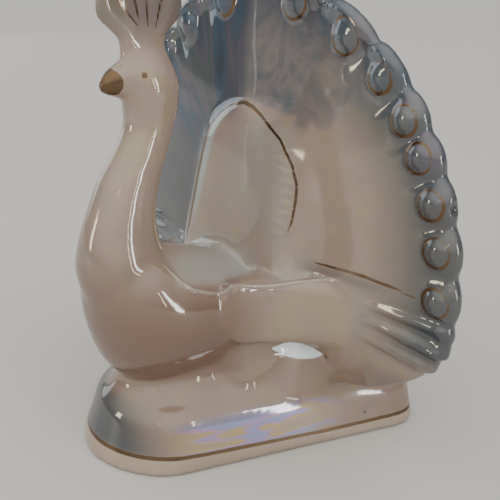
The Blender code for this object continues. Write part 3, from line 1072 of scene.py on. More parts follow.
@dataclass
class Brushwork:
    """Where the gold, the airbrushed tints, the lustre and the painted light and shade lie, worked out at the
    skin's points.
    """

    tail: Tail
    relief: Relief
    # Gold strokes on the fan: rows of x, z and half width.
    arch: Stations = (
        (-31.0, 66.0, 0.40),
        (-28.0, 75.0, 1.00),
        (-26.6, 86.0, 1.15),
        (-25.6, 96.0, 1.15),
        (-23.9, 106.0, 1.00),
        (-22.4, 112.5, 0.85),
        (-19.8, 118.2, 0.70),
        (-14.8, 123.6, 0.60),
        (-9.0, 127.1, 0.56),
        (-0.6, 128.7, 0.62),
        (5.0, 127.6, 0.60),
        (10.1, 125.3, 0.52),
        (22.0, 117.6, 0.50),
        (28.9, 109.5, 0.54),
        (32.1, 102.5, 0.56),
        (32.5, 97.1, 0.56),
        (32.3, 89.7, 0.50),
        (31.1, 83.0, 0.10),
    )
    wing_line: Stations = (
        (41.8, 74.9, 0.28),
        (48.3, 75.2, 0.50),
        (52.9, 75.3, 0.56),
        (64.0, 75.4, 0.62),
        (74.4, 74.8, 0.62),
        (80.5, 74.1, 0.46),
        (86.5, 73.3, 0.12),
    )
    far_line: Stations = ((-66.0, 53.0, 0.3), (-62.1, 55.6, 0.6), (-54.5, 60.0, 0.3))
    # Gold strokes on the crest: rows of y, z and half width.
    crest_lines: tuple[Stations, ...] = (
        ((-36.0, 178.0, 0.50), (-34.0, 167.0, 0.55), (-31.2, 162.9, 0.50), (-27.7, 158.7, 0.20)),
        ((-28.6, 180.0, 0.45), (-28.1, 166.9, 0.45), (-27.6, 163.5, 0.40), (-26.9, 160.0, 0.18)),
        ((-23.2, 181.0, 0.50), (-23.6, 166.9, 0.45), (-23.7, 162.5, 0.40), (-23.7, 158.3, 0.18)),
        ((-15.0, 178.0, 0.45), (-17.8, 166.8, 0.45), (-19.5, 162.0, 0.42), (-21.1, 157.4, 0.18)),
    )
    # The gold line round the base: rows of y and z.
    base_level: Stations = (
        (-53.0, 7.2),
        (-38.0, 7.1),
        (-24.0, 6.4),
        (-12.0, 6.1),
        (4.0, 5.7),
        (22.0, 5.3),
        (40.0, 5.5),
        (56.0, 5.9),
        (76.0, 6.2),
    )
    base_half_width: float = 0.72
    # The painted eye: the size of x, y, z and radius.
    eye: tuple[float, float, float, float] = (8.0, -28.6, 143.2, 1.2)
    # The raised line on the shoulder and wing: rows of the size of x, y, z and half width.
    ridge: Stations = (
        (12.0, -31.0, 83.5, 0.0),
        (15.0, -29.9, 79.8, 0.0),
        (18.7, -28.2, 76.1, 0.0),
        (22.0, -25.5, 72.1, 0.0),
        (24.2, -21.5, 68.9, 0.0),
        (25.4, -16.1, 66.8, 0.0),
        (26.8, -10.6, 66.2, 0.0),
        (27.8, -8.4, 68.3, 0.0),
        (31.9, -2.6, 68.2, 0.0),
        (34.5, 4.9, 67.2, 0.0),
        (36.7, 10.1, 67.4, 0.0),
        (39.6, 15.0, 68.0, 0.0),
        (42.6, 18.2, 68.8, 0.0),
        (47.1, 20.5, 69.8, 0.0),
        (53.4, 21.9, 70.3, 0.0),
        (60.0, 22.9, 70.1, 0.0),
        (66.4, 23.7, 69.7, 0.0),
    )
    # The pale lines down the fan: rows of x, z and half width.
    veins: tuple[Stations, ...] = (
        ((-2.5, 168.0, 0.1), (-0.5, 150.0, 0.5), (2.2, 140.0, 0.6), (2.6, 131.0, 0.2)),
        ((5.0, 122.0, 0.1), (5.2, 112.0, 0.25), (8.4, 101.0, 0.35), (5.4, 93.0, 0.30), (5.6, 84.0, 0.1)),
    )
    # The lower edge of the marbling: rows of x and z.
    pools: Stations = (
        (-30.0, 118.0),
        (0.0, 130.0),
        (14.0, 129.0),
        (21.1, 126.4),
        (32.0, 122.4),
        (43.5, 124.7),
        (49.7, 129.9),
        (60.1, 132.1),
        (71.0, 133.5),
        (90.0, 126.0),
    )
    arch_left_rows: int = 10
    # Where gold may lie, and how the rings and the beak are brushed.
    gold_area: Patch = Patch(1.0, (BACK.edge(31.5, 29.5), BACK.edge(4.0, 8.0)))
    crest_from: float = 150.0
    off_area: float = 4.0
    ring_foot: float = 1.02
    ring_half_width: float = 0.52
    ring_swing: float = 0.20
    ring_turn: float = 2.3
    ring_turn_swing: float = 0.7
    ring_turn_step: float = 2.1
    far_ring_loss: Patch = Patch(0.6, (ACROSS.edge(-24.0, -34.0),))
    beak_edge: float = -34.9
    beak_bow: float = 0.10
    beak_middle: float = 140.5
    beak_under: float = 136.6
    head_span: tuple[float, float] = (120.0, 152.0)
    # The fan's half behind the neck, seen from the front and from behind.
    far_front: Patch = Patch(1.0, (INSIDE.edge(0.3, -2.4),))
    far_behind: Patch = Patch(1.0, (ACROSS.edge(44.0, -56.0),))
    behind: Patch = Patch(1.0, (BACK.edge(30.6, 33.0),))
    # The blue-grey tints of the fan, with painted shade in the fold above the wing, and then of the base's
    # front, the wing's end and the crest, where the blue-grey is painted shade.
    rim_tint: Patch = Patch(0.94, (REACH.edge(0.60, 0.92),))
    high_rim_tint: Patch = Patch(0.06, (REACH.edge(0.60, 0.92), UP.edge(100.0, 150.0)))
    crown_tint: Patch = Patch(0.30, (UP.edge(124.0, 150.0),))
    far_tint: float = 0.92
    far_tint_loss: Patch = Patch(0.25, (UP.edge(118.0, 130.0),))
    corner_tint: Patch = Patch(1.0, (SIDE.edge(64.0, 90.0), UP.edge(38.0, 43.0), UP.edge(76.0, 68.0)))
    # Painted shade in the crease between the fan and the wing's top.
    fold_tint: Patch = Patch(0.45, (ACROSS.edge(34.0, 44.0), BACK.edge(32.0, 29.0)))
    fold_height: float = 72.5
    fold_reach: float = 2.2
    fan_area: Patch = Patch(1.0, (BACK.edge(9.0, 14.0), UP.edge(40.0, 56.0)))
    other_tints: tuple[Patch, ...] = (
        Patch(0.96, (BACK.edge(-34.0, -50.0), UP.edge(27.0, 22.0), UP.edge(6.0, 9.0))),
        Patch(0.96, (ACROSS.edge(6.0, -16.0), UP.edge(25.0, 21.0))),
        Patch(0.35, (ACROSS.edge(56.0, 74.0), UP.edge(48.0, 36.0), BACK.edge(16.0, 24.0))),
        # Painted shade over the crest.
        Patch(0.50, (UP.edge(150.0, 164.0), BACK.edge(0.0, -6.0))),
    )
    # The warmer colour low on the body, partly the glaze's own tone and partly a painted reflection of a warm
    # table below.
    breast_warmth_and_reflection: Patch = Patch(1.0, (UP.edge(104.0, 52.0), UP.edge(28.0, 33.0), BACK.edge(12.0, -14.0)))
    bare_back: Patch = Patch(1.0, (UP.edge(63.0, 67.0), SIDE.edge(25.0, 21.0), BACK.edge(-30.0, -24.0)))
    low_warmth_and_reflection: Patch = Patch(0.5, (UP.edge(48.0, 38.0),))
    # The streaked and marbled lustre.
    streak_strength: float = 0.2
    high_streaks: Patch = Patch(0.8, (UP.edge(92.0, 122.0),))
    below_crown: Patch = Patch(1.0, (UP.edge(132.0, 126.0),))
    crown_streaks: Patch = Patch(1.0, (UP.edge(118.0, 130.0), ACROSS.edge(3.0, -10.0)))
    rim_streaks: Patch = Patch(0.6, (REACH.edge(0.80, 0.96), UP.edge(96.0, 124.0)))
    streak_area: Patch = Patch(1.0, (BACK.edge(9.0, 14.0), UP.edge(48.0, 60.0)))
    fan_from: float = 9.0
    far_below: float = -30.0
    feather_degrees: float = 8.0
    feather_steps: float = 2.4
    feather_depth: float = 0.02
    # Painted reflection streaks in the lustre's colours, along the base's side.
    base_stain: Patch = Patch(1.0, (UP.edge(21.0, 15.0), BACK.edge(34.0, 12.0), BACK.edge(-40.0, -24.0)))
    # Where the raised line drops and ends.
    wing_drop_area: Patch = Patch(1.0, (SIDE.edge(26.0, 31.0),))
    piping_ends: tuple[Patch, ...] = (
        Patch(2.0, (SIDE.edge(46.0, 66.0),)),
        Patch(2.0, (BACK.edge(-27.0, -33.0),)),
    )
    # The pale blue-green painted light: a lit band in and beside the arch, and a lighter back where light
    # falls from above.
    arch_band: Patch = Patch(1.0, (INSIDE.edge(0.0, 1.0), INSIDE.edge(7.0, 4.5)))
    arch_field: Patch = Patch(0.32, (INSIDE.edge(8.0, 30.0), ACROSS.edge(34.0, 24.0)))
    arch_area: Patch = Patch(1.0, (BACK.edge(9.0, 14.0), BACK.edge(24.0, 20.0), UP.edge(128.0, 118.0)))
    back_halo: Patch = Patch(
        0.62,
        (
            UP.edge(64.0, 68.0),
            UP.edge(80.0, 75.0),
            SIDE.edge(25.0, 18.0),
            BACK.edge(-30.0, -22.0),
            BACK.edge(14.0, 4.0),
        ),
    )
    vein_area: Patch = Patch(1.0, (BACK.edge(9.0, 14.0), BACK.edge(31.5, 29.5)))
    pit_shade_share: float = 0.9
    foot_edge: tuple[float, float] = (0.2, -0.6)

    def measures(self, points: Array) -> Places:
        """Measures points of the skin, with INSIDE from the arch's left line.

        Args:
            points: The points in figure units.

        Returns:
            Every measure.
        """
        rows = np.array(self.arch[: self.arch_left_rows])
        left = np.interp(points[:, 2], rows[:, 1], rows[:, 0])
        return survey(points, self.tail) | {INSIDE: points[:, 0] - left}

    def gold(self, points: Array) -> Array:
        """Measures the gap to the nearest gold stroke, below zero inside one.

        Args:
            points: The points in figure units.

        Returns:
            The gaps in figure units.
        """
        x, y, z = points.T
        flat = np.stack([x, z], 1)
        gap = self.eye_rings(points)
        for line in (self.arch, self.wing_line, self.far_line):
            gap = np.minimum(gap, path_gap(flat, line))
        gap = gap + self.off_area * (1 - self.gold_area.share(self.measures(points)))
        side = np.stack([y, z], 1)
        for line in self.crest_lines:
            gap = np.minimum(gap, path_gap(side, line) + self.off_area * (z < self.crest_from))
        level = np.interp(y, *np.array(self.base_level).T)
        gap = np.minimum(gap, np.abs(z - level) - self.base_half_width)
        gap = np.minimum(gap, self.beak(y, z))
        *middle, radius = self.eye
        eye = np.linalg.norm(np.stack([np.abs(x), y, z], 1) - np.array(middle), axis=1) - radius
        return np.minimum(gap, eye)

    def eye_rings(self, points: Array) -> Array:
        """Measures the gap to the brushed ring round the foot of each eye, thicker on one side of it.

        The half width swings by the cosine of the way round, from a start that differs from eye to eye.

        Args:
            points: The points in figure units.

        Returns:
            The gaps in figure units.
        """
        x, _, z = points.T
        gap = np.full(len(x), NO_STROKE)
        away = self.tail.radius * self.tail.eye_share
        loss = self.far_ring_loss.share(self.measures(points))
        for number, (degrees, radius) in enumerate(zip(self.tail.eye_angles, self.tail.eye_radii)):
            turned = math.radians(degrees)
            across = np.abs(x) - away * math.sin(turned)
            up = z - self.tail.middle_z - away * math.cos(turned)
            start = self.ring_turn + self.ring_turn_swing * math.sin(self.ring_turn_step * number)
            half = self.ring_half_width + self.ring_swing * np.cos(np.arctan2(up, across) + start)
            ring = np.abs(np.hypot(across, up) - radius * self.ring_foot)
            gap = np.minimum(gap, ring - (half - loss))
        return gap

    def beak(self, y: Array, z: Array) -> Array:
        """Measures the gap to the painted beak, whose edge bows back between its top and its underside.

        Args:
            y: The points' places from the beak to the tail.
            z: Their heights.

        Returns:
            The gaps in figure units.
        """
        edge = self.beak_edge - self.beak_bow * (z - self.beak_middle) ** 2
        outside = np.maximum(y - edge, self.beak_under - z)
        lowest, highest = self.head_span
        return np.where((z > lowest) & (z < highest), outside, NO_STROKE)

    def far_half(self, places: Places) -> Array:
        """Gives 1 on the bird's right half of the fan, past the arch in front and by a soft change behind.

        Args:
            places: The points' measures.

        Returns:
            Shares from 0 to 1.
        """
        front = self.far_front.share(places)
        return front + (self.far_behind.share(places) - front) * self.behind.share(places)

    def tint(self, points: Array) -> Array:
        """Gives the share of blue-grey airbrushing and painted shade: airbrush on the rim, the far half of
        the fan and the base's front, painted shade in the fold above the wing and on the crest.

        The painted shade in the fold above the wing is exp(-((z - height) / reach)^2).

        Args:
            points: The points in figure units.

        Returns:
            Shares from 0 to 1.
        """
        places = self.measures(points)
        rim = self.rim_tint.share(places) + self.high_rim_tint.share(places)
        far = self.far_half(places) * (self.far_tint - self.far_tint_loss.share(places))
        fold = np.exp(-(((places[UP] - self.fold_height) / self.fold_reach) ** 2))
        fold = fold * self.fold_tint.share(places)
        fan = np.max([rim, far, fold, self.crown_tint.share(places), self.corner_tint.share(places)], axis=0)
        others = [patch.share(places) for patch in self.other_tints]
        return np.clip(np.max([fan * self.fan_area.share(places), *others], axis=0), 0, 1)

    def warmth_and_table_reflection(self, points: Array) -> Array:
        """Gives the share of the warmer, darker colour low on the breast and the flanks, partly the glaze's
        own tone and partly a painted reflection of a warm table below.

        Args:
            points: The points in figure units.

        Returns:
            Shares from 0 to 1.
        """
        places = self.measures(points)
        breast = self.breast_warmth_and_reflection.share(places) * (1 - self.bare_back.share(places))
        return np.maximum(breast, self.low_warmth_and_reflection.share(places))

    def far_side(self, points: Array) -> Array:
        """Gives the share of streaked lustre, on the fan's half behind the neck and by the upper rim.

        Args:
            points: The points in figure units.

        Returns:
            Shares from 0 to 1.
        """
        places = self.measures(points)
        strength = self.streak_strength + self.high_streaks.share(places)
        behind_neck = self.far_half(places) * self.below_crown.share(places) * strength
        shares = [behind_neck, self.crown_streaks.share(places), self.rim_streaks.share(places)]
        return np.max(shares, axis=0) * self.streak_area.share(places)

    def upper(self, points: Array) -> Array:
        """Measures how far points of the fan are over the wavy lower edge of its marbled part.

        Args:
            points: The points in figure units.

        Returns:
            Heights in figure units, far below the edge where there is no fan.
        """
        x, y, z = points.T
        edge = np.interp(x, *np.array(self.pools).T)
        return np.where(y > self.fan_from, z - edge, self.far_below)

    def feather(self, points: Array) -> Array:
        """Gives the fan's own coordinates, which stretch a pattern along its feathers.

        Args:
            points: The points in figure units.

        Returns:
            The angle and the share of the radius, each in steps of its own, and a little of y.
        """
        x, y, z = points.T
        angle = np.degrees(np.arctan2(x, z - self.tail.middle_z)) / self.feather_degrees
        return np.stack([angle, self.feather_steps * self.tail.share(x, z), self.feather_depth * y], 1)

    def stain(self, points: Array) -> Array:
        """Gives the share of painted reflection streaks on the base's side, in the lustre's violet, gold and
        blue.
        """
        return self.base_stain.share(self.measures(points))

    def piping(self, points: Array) -> Array:
        """Measures the gap to the raised line along the shoulder and the wing's top edge.

        Args:
            points: The points in figure units.

        Returns:
            The gaps in figure units, which grow where the line ends.
        """
        x, y, z = points.T
        places = self.measures(points)
        drop = self.tail.right_wing_drop * (x < 0) * self.wing_drop_area.share(places)
        gap = path_gap(np.stack([np.abs(x), y, z + drop], 1), self.ridge)
        return gap + sum(end.share(places) for end in self.piping_ends)

    def halo(self, points: Array) -> Array:
        """Gives the share of pale blue-green painted light, in and beside the arch and on the back.

        Args:
            points: The points in figure units.

        Returns:
            Shares from 0 to 1.
        """
        places = self.measures(points)
        arch = np.maximum(self.arch_band.share(places), self.arch_field.share(places))
        return np.maximum(arch * self.arch_area.share(places), self.back_halo.share(places))

    def vein(self, points: Array) -> Array:
        """Measures the gap to the thin pale lines down the middle of the fan and the rump.

        Args:
            points: The points in figure units.

        Returns:
            The gaps in figure units.
        """
        flat = points[:, [0, 2]]
        gap = np.min([path_gap(flat, vein) for vein in self.veins], axis=0)
        return gap + self.off_area * (1 - self.vein_area.share(self.measures(points)))

    def pool(self, points: Array) -> Array:
        """Measures the gap to the pale painted reflection in the hollow under each wing."""
        x, y, z = points.T
        return path_gap(np.stack([np.abs(x), y, z], 1), self.relief.hollow)

    def pit_shade(self, points: Array) -> Array:
        """Measures the gap to the nearest pit of the casting, where the shade inside a vent hole is painted
        near black.

        Args:
            points: The points in figure units.

        Returns:
            The gaps in figure units.
        """
        gaps = []
        for *centre, radius in self.relief.pits:
            gaps.append(np.linalg.norm(points - np.array(centre), axis=1) - self.pit_shade_share * radius)
        return np.min(gaps, axis=0)

    def foot_band(self, points: Array) -> Array:
        """Gives 1 on the cream band under the base's gold line and 0 above it."""
        level = np.interp(points[:, 1], *np.array(self.base_level).T)
        return smoothstep(points[:, 2] - level, *self.foot_edge)


@dataclass(frozen=True)
class Grain:
    """A noise pattern: its lumps to a unit of the coordinates, how much it swirls and its finer layers."""

    scale: float
    distortion: float
    detail: float = 3.0


class Sheet:
    """A node tree under construction, with a method for each kind of step that the finishes use."""

    def __init__(self, tree: bpy.types.NodeTree) -> None:
        """Takes the tree and empties it."""
        self.tree = tree
        tree.nodes.clear()

    def add(self, kind: str, **values: object) -> bpy.types.Node:
        """Adds a node.

        Args:
            kind: The node's type.
            values: Properties to set, or inputs by position written as in0, in1 and so on.

        Returns:
            The node.
        """
        node = self.tree.nodes.new(kind)
        for name, value in values.items():
            if name.startswith("in") and name[2:].isdigit():
                node.inputs[int(name[2:])].default_value = value
            else:
                setattr(node, name, value)
        return node

    def join(self, start: Socket, end: Socket) -> None:
        """Joins an output to an input."""
        self.tree.links.new(start, end)

    def feed(self, value: Socket | Colour | float, socket: Socket) -> None:
        """Gives an input its value, by a link from another socket or as it is.

        Args:
            value: What the input gets.
            socket: The input.
        """
        if isinstance(value, Socket):
            self.join(value, socket)
        else:
            socket.default_value = value

    def mix(self, share: Socket, first: Socket | Colour, second: Socket | Colour) -> Socket:
        """Mixes two colours.

        Args:
            share: How much of the second there is.
            first: The colour at a share of 0.
            second: The colour at a share of 1.

        Returns:
            The mixed colour.
        """
        node = self.add("ShaderNodeMix", data_type="RGBA")
        self.join(share, node.inputs[0])
        self.feed(first, node.inputs[6])
        self.feed(second, node.inputs[7])
        return node.outputs[2]

    def maths(self, operation: str, first: Socket | float, second: Socket | float) -> Socket:
        """Works out one step of arithmetic.

        Args:
            operation: Its name, such as ADD.
            first: The first socket or number.
            second: The second one.

        Returns:
            The result.
        """
        node = self.add("ShaderNodeMath", operation=operation)
        self.feed(first, node.inputs[0])
        self.feed(second, node.inputs[1])
        return node.outputs[0]

    def attribute(self, name: str, output: str = "Fac") -> Socket:
        """Reads an attribute of the mesh."""
        return self.add("ShaderNodeAttribute", attribute_name=name).outputs[output]

    def span(self, value: Socket, low: float, high: float) -> Socket:
        """Goes from 0 to 1 along 3 t^2 - 2 t^3.

        Args:
            value: What is read.
            low: Where it gives 0; it may be the larger of the two.
            high: Where it gives 1.

        Returns:
            The share.
        """
        node = self.add("ShaderNodeMapRange", interpolation_type="SMOOTHSTEP", in1=low, in2=high)
        self.join(value, node.inputs[0])
        return node.outputs[0]

    def noise(self, where: Socket, grain: Grain) -> Socket:
        """Adds a noise from 0 to 1.

        Args:
            where: The coordinates.
            grain: The pattern.

        Returns:
            The noise's value.
        """
        node = self.add("ShaderNodeTexNoise")
        node.inputs["Scale"].default_value = grain.scale
        node.inputs["Detail"].default_value = grain.detail
        node.inputs["Roughness"].default_value = 0.5
        node.inputs["Distortion"].default_value = grain.distortion
        self.join(where, node.inputs["Vector"])
        return node.outputs["Fac"]

    def palette(self, value: Socket, stops: Stops) -> Socket:
        """Turns a value into a colour.

        Args:
            value: What is read.
            stops: The colours and the values that they stand at.

        Returns:
            The colour.
        """
        ramp = self.add("ShaderNodeValToRGB")
        elements = ramp.color_ramp.elements
        while len(elements) < len(stops):
            elements.new(0.5)
        for element, (position, colour) in zip(elements, stops):
            element.position = position
            element.color = colour
        self.join(value, ramp.inputs["Fac"])
        return ramp.outputs["Color"]

    def stretched(self, where: Socket, sizes: tuple[float, float, float]) -> Socket:
        """Scales coordinates along each axis.

        Args:
            where: The coordinates.
            sizes: The factors.

        Returns:
            The scaled coordinates.
        """
        node = self.add("ShaderNodeVectorMath", operation="MULTIPLY")
        node.inputs[1].default_value = sizes
        self.join(where, node.inputs[0])
        return node.outputs[0]


@dataclass(frozen=True)
class PearlGlaze:
    """The pearl-lustre glaze with its airbrushed tints, marbled lustre and gold strokes, and with painted
    highlights, reflections and shade.
    """

    # Dark blue-grey for the airbrushing and for the painted shade in the fold and on the crest.
    tint: Colour = (0.045, 0.054, 0.064, 1.0)
    # Warm brown, partly the glaze's own tone and partly a painted reflection of a warm table.
    warmth_and_table_reflection: Colour = (0.165, 0.095, 0.065, 1.0)
    cream: Colour = (0.35, 0.27, 0.20, 1.0)
    gold: Colour = (0.145, 0.090, 0.050, 1.0)
    # Near black painted shade inside the casting's pits.
    pit_shade: Colour = (0.012, 0.010, 0.009, 1.0)
    # Pale blue-green painted light for the arch's flank and the back.
    halo: Colour = (0.31, 0.36, 0.36, 1.0)
    vein: Colour = (0.44, 0.41, 0.42, 1.0)
    # Pale blue-white painted reflection for the hollow under each wing.
    pool: Colour = (0.78, 0.86, 0.90, 1.0)
    # Painted highlight along the raised line on the shoulder and the wing.
    ridge_highlight: Colour = (0.55, 0.50, 0.42, 1.0)
    streak_stops: Stops = (
        (0.24, (0.040, 0.055, 0.075, 1.0)),
        (0.40, (0.052, 0.100, 0.155, 1.0)),
        (0.50, (0.080, 0.092, 0.125, 1.0)),
        (0.57, (0.122, 0.105, 0.150, 1.0)),
        (0.64, (0.095, 0.122, 0.125, 1.0)),
        (0.78, (0.066, 0.084, 0.110, 1.0)),
    )
    haze_stops: Stops = (
        (0.30, (0.256, 0.214, 0.184, 1.0)),
        (0.43, (0.298, 0.225, 0.166, 1.0)),
        (0.50, (0.310, 0.218, 0.191, 1.0)),
        (0.57, (0.310, 0.244, 0.158, 1.0)),
        (0.70, (0.263, 0.225, 0.180, 1.0)),
    )
    pool_stops: Stops = (
        (0.28, (0.112, 0.143, 0.173, 1.0)),
        (0.41, (0.173, 0.190, 0.205, 1.0)),
        (0.50, (0.236, 0.205, 0.224, 1.0)),
        (0.58, (0.262, 0.242, 0.238, 1.0)),
        (0.72, (0.178, 0.176, 0.200, 1.0)),
    )
    # Colours of the painted reflection streaks on the base's side.
    stain_stops: Stops = (
        (0.34, (0.385, 0.305, 0.230, 1.0)),
        (0.43, (0.520, 0.400, 0.150, 1.0)),
        (0.49, (0.400, 0.270, 0.620, 1.0)),
        (0.56, (0.200, 0.340, 0.700, 1.0)),
        (0.66, (0.385, 0.305, 0.230, 1.0)),
    )
    haze_grain: Grain = Grain(24.0, 2.4, 4.0)
    streak_grain: Grain = Grain(0.9, 0.7, 1.2)
    streak_share: float = 0.85
    wave_grain: Grain = Grain(62.0, 1.0)
    wave_height: float = 18.0
    pool_edge: tuple[float, float] = (7.0, 12.5)
    marble_share: float = 0.85
    marble_grain: Grain = Grain(42.0, 3.2, 4.0)
    rim_cover: float = 0.55
    stain_stretch: tuple[float, float, float] = (34.0, 22.0, 130.0)
    stain_grain: Grain = Grain(1.0, 1.2)
    stain_share: float = 0.6
    halo_share: float = 0.8
    vein_edge: tuple[float, float] = (0.7, -0.3)
    vein_share: float = 0.6
    lens_reflection_edge: tuple[float, float] = (0.25, -0.45)
    piping_edge: tuple[float, float] = (1.25, 0.1)
    ridge_highlight_share: float = 0.4
    piping_height: float = 0.0005
    brush_grain: Grain = Grain(260.0, 0.0)
    brush_wander: float = 0.26
    stroke_edge: tuple[float, float] = (0.16, -0.16)
    pit_shade_edge: tuple[float, float] = (0.5, -0.1)
    gold_metal: float = 0.85
    lustre_metal: float = 0.42
    gold_matt: float = 0.10
    roughness: float = 0.075
    film_thickness: float = 92.0
    film_index: float = 1.66
    index: float = 1.55

    def part(self, sheet: Sheet, name: str, edge: tuple[float, float], share: float = 1.0) -> Socket:
        """Turns an attribute that measures a gap into the share of a colour.

        Args:
            sheet: The material's node tree.
            name: The attribute.
            edge: The gaps where the share is none and where it is full.
            share: The full share.

        Returns:
            The share.
        """
        covered = sheet.span(sheet.attribute(name), *edge)
        return covered if share == 1.0 else sheet.maths("MULTIPLY", covered, share)

    def marbling(self, sheet: Sheet, where: Socket) -> Socket:
        """Gives the share of the marbled lustre, over a wavy edge and thinner by the rim.

        Args:
            sheet: The material's node tree.
            where: The object's coordinates.

        Returns:
            The share.
        """
        wave = sheet.maths("MULTIPLY", sheet.noise(where, self.wave_grain), self.wave_height)
        level = sheet.maths("ADD", sheet.attribute("upper"), wave)
        share = sheet.maths("MULTIPLY", sheet.span(level, *self.pool_edge), self.marble_share)
        near = sheet.maths("SUBTRACT", 1.0, sheet.attribute("far_side"))
        cover = sheet.maths("MULTIPLY", sheet.attribute("tint"), self.rim_cover)
        share = sheet.maths("MULTIPLY", share, near)
        return sheet.maths("MULTIPLY", share, sheet.maths("SUBTRACT", 1.0, cover))

    def ground(self, sheet: Sheet, where: Socket) -> tuple[Socket, Socket]:
        """Lays the tints and the lustre over the body colour.

        Args:
            sheet: The material's node tree.
            where: The object's coordinates.

        Returns:
            The colour, and the share of lustre.
        """
        colour = sheet.palette(sheet.noise(where, self.haze_grain), self.haze_stops)
        # Darkens and warms the low body, partly with a painted reflection of a warm table.
        colour = sheet.mix(sheet.attribute("warmth_and_table_reflection"), colour, self.warmth_and_table_reflection)
        # Lays the blue-grey airbrushing and the painted shade in the fold and on the crest.
        colour = sheet.mix(sheet.attribute("tint"), colour, self.tint)
        feather = sheet.attribute("feather", "Vector")
        streaks = sheet.palette(sheet.noise(feather, self.streak_grain), self.streak_stops)
        streaked = sheet.maths("MULTIPLY", sheet.attribute("far_side"), self.streak_share)
        colour = sheet.mix(streaked, colour, streaks)
        marbled = self.marbling(sheet, where)
        marble = sheet.palette(sheet.noise(where, self.marble_grain), self.pool_stops)
        colour = sheet.mix(marbled, colour, marble)
        # Paints reflection streaks in violet, gold and blue along the base's side.
        along = sheet.stretched(where, self.stain_stretch)
        stains = sheet.palette(sheet.noise(along, self.stain_grain), self.stain_stops)
        stained = sheet.maths("MULTIPLY", sheet.attribute("stain"), self.stain_share)
        colour = sheet.mix(stained, colour, stains)
        return colour, sheet.maths("MAXIMUM", sheet.maths("MAXIMUM", streaked, marbled), stained)

    def build(self) -> bpy.types.Material:
        """Builds the material from the mesh's attributes and its place.

        Returns:
            The material.
        """
        material = bpy.data.materials.new("pearl_lustre_porcelain")
        material.use_nodes = True
        sheet = Sheet(material.node_tree)
        where = sheet.add("ShaderNodeTexCoord").outputs["Object"]
        colour, lustre = self.ground(sheet, where)
        # Paints pale blue-green light on the arch's flank and on the back.
        haloed = sheet.maths("MULTIPLY", sheet.attribute("halo"), self.halo_share)
        colour = sheet.mix(haloed, colour, self.halo)
        colour = sheet.mix(self.part(sheet, "vein", self.vein_edge, self.vein_share), colour, self.vein)
        colour = sheet.mix(sheet.attribute("foot_band"), colour, self.cream)
        # Paints a pale reflection of window light into the hollow under each wing.
        colour = sheet.mix(self.part(sheet, "pool", self.lens_reflection_edge), colour, self.pool)
        piping = self.part(sheet, "piping", self.piping_edge)
        # Paints a pale highlight along the raised line on the shoulder and the wing.
        colour = sheet.mix(sheet.maths("MULTIPLY", piping, self.ridge_highlight_share), colour, self.ridge_highlight)
        wander = sheet.maths("SUBTRACT", sheet.noise(where, self.brush_grain), 0.5)
        wander = sheet.maths("MULTIPLY", wander, self.brush_wander)
        stroke = sheet.span(sheet.maths("ADD", sheet.attribute("gold"), wander), *self.stroke_edge)
        colour = sheet.mix(stroke, colour, self.gold)
        # Paints the shade inside the casting's pits near black.
        colour = sheet.mix(self.part(sheet, "pit_shade", self.pit_shade_edge), colour, self.pit_shade)
        shader = sheet.add("ShaderNodeBsdfPrincipled")
        sheet.join(colour, shader.inputs["Base Color"])
        metal = sheet.maths("MULTIPLY", stroke, self.gold_metal)
        metal = sheet.maths("MAXIMUM", metal, sheet.maths("MULTIPLY", lustre, self.lustre_metal))
        sheet.join(metal, shader.inputs["Metallic"])
        matt = sheet.maths("ADD", sheet.maths("MULTIPLY", stroke, self.gold_matt), self.roughness)
        sheet.join(matt, shader.inputs["Roughness"])
        bump = sheet.add("ShaderNodeBump")
        bump.inputs["Strength"].default_value = 1.0
        bump.inputs["Distance"].default_value = self.piping_height
        sheet.join(piping, bump.inputs["Height"])
        sheet.join(bump.outputs[0], shader.inputs["Normal"])
        shader.inputs["IOR"].default_value = self.index
        shader.inputs["Thin Film Thickness"].default_value = self.film_thickness
        shader.inputs["Thin Film IOR"].default_value = self.film_index
        output = sheet.add("ShaderNodeOutputMaterial")
        sheet.join(shader.outputs[0], output.inputs["Surface"])
        return material


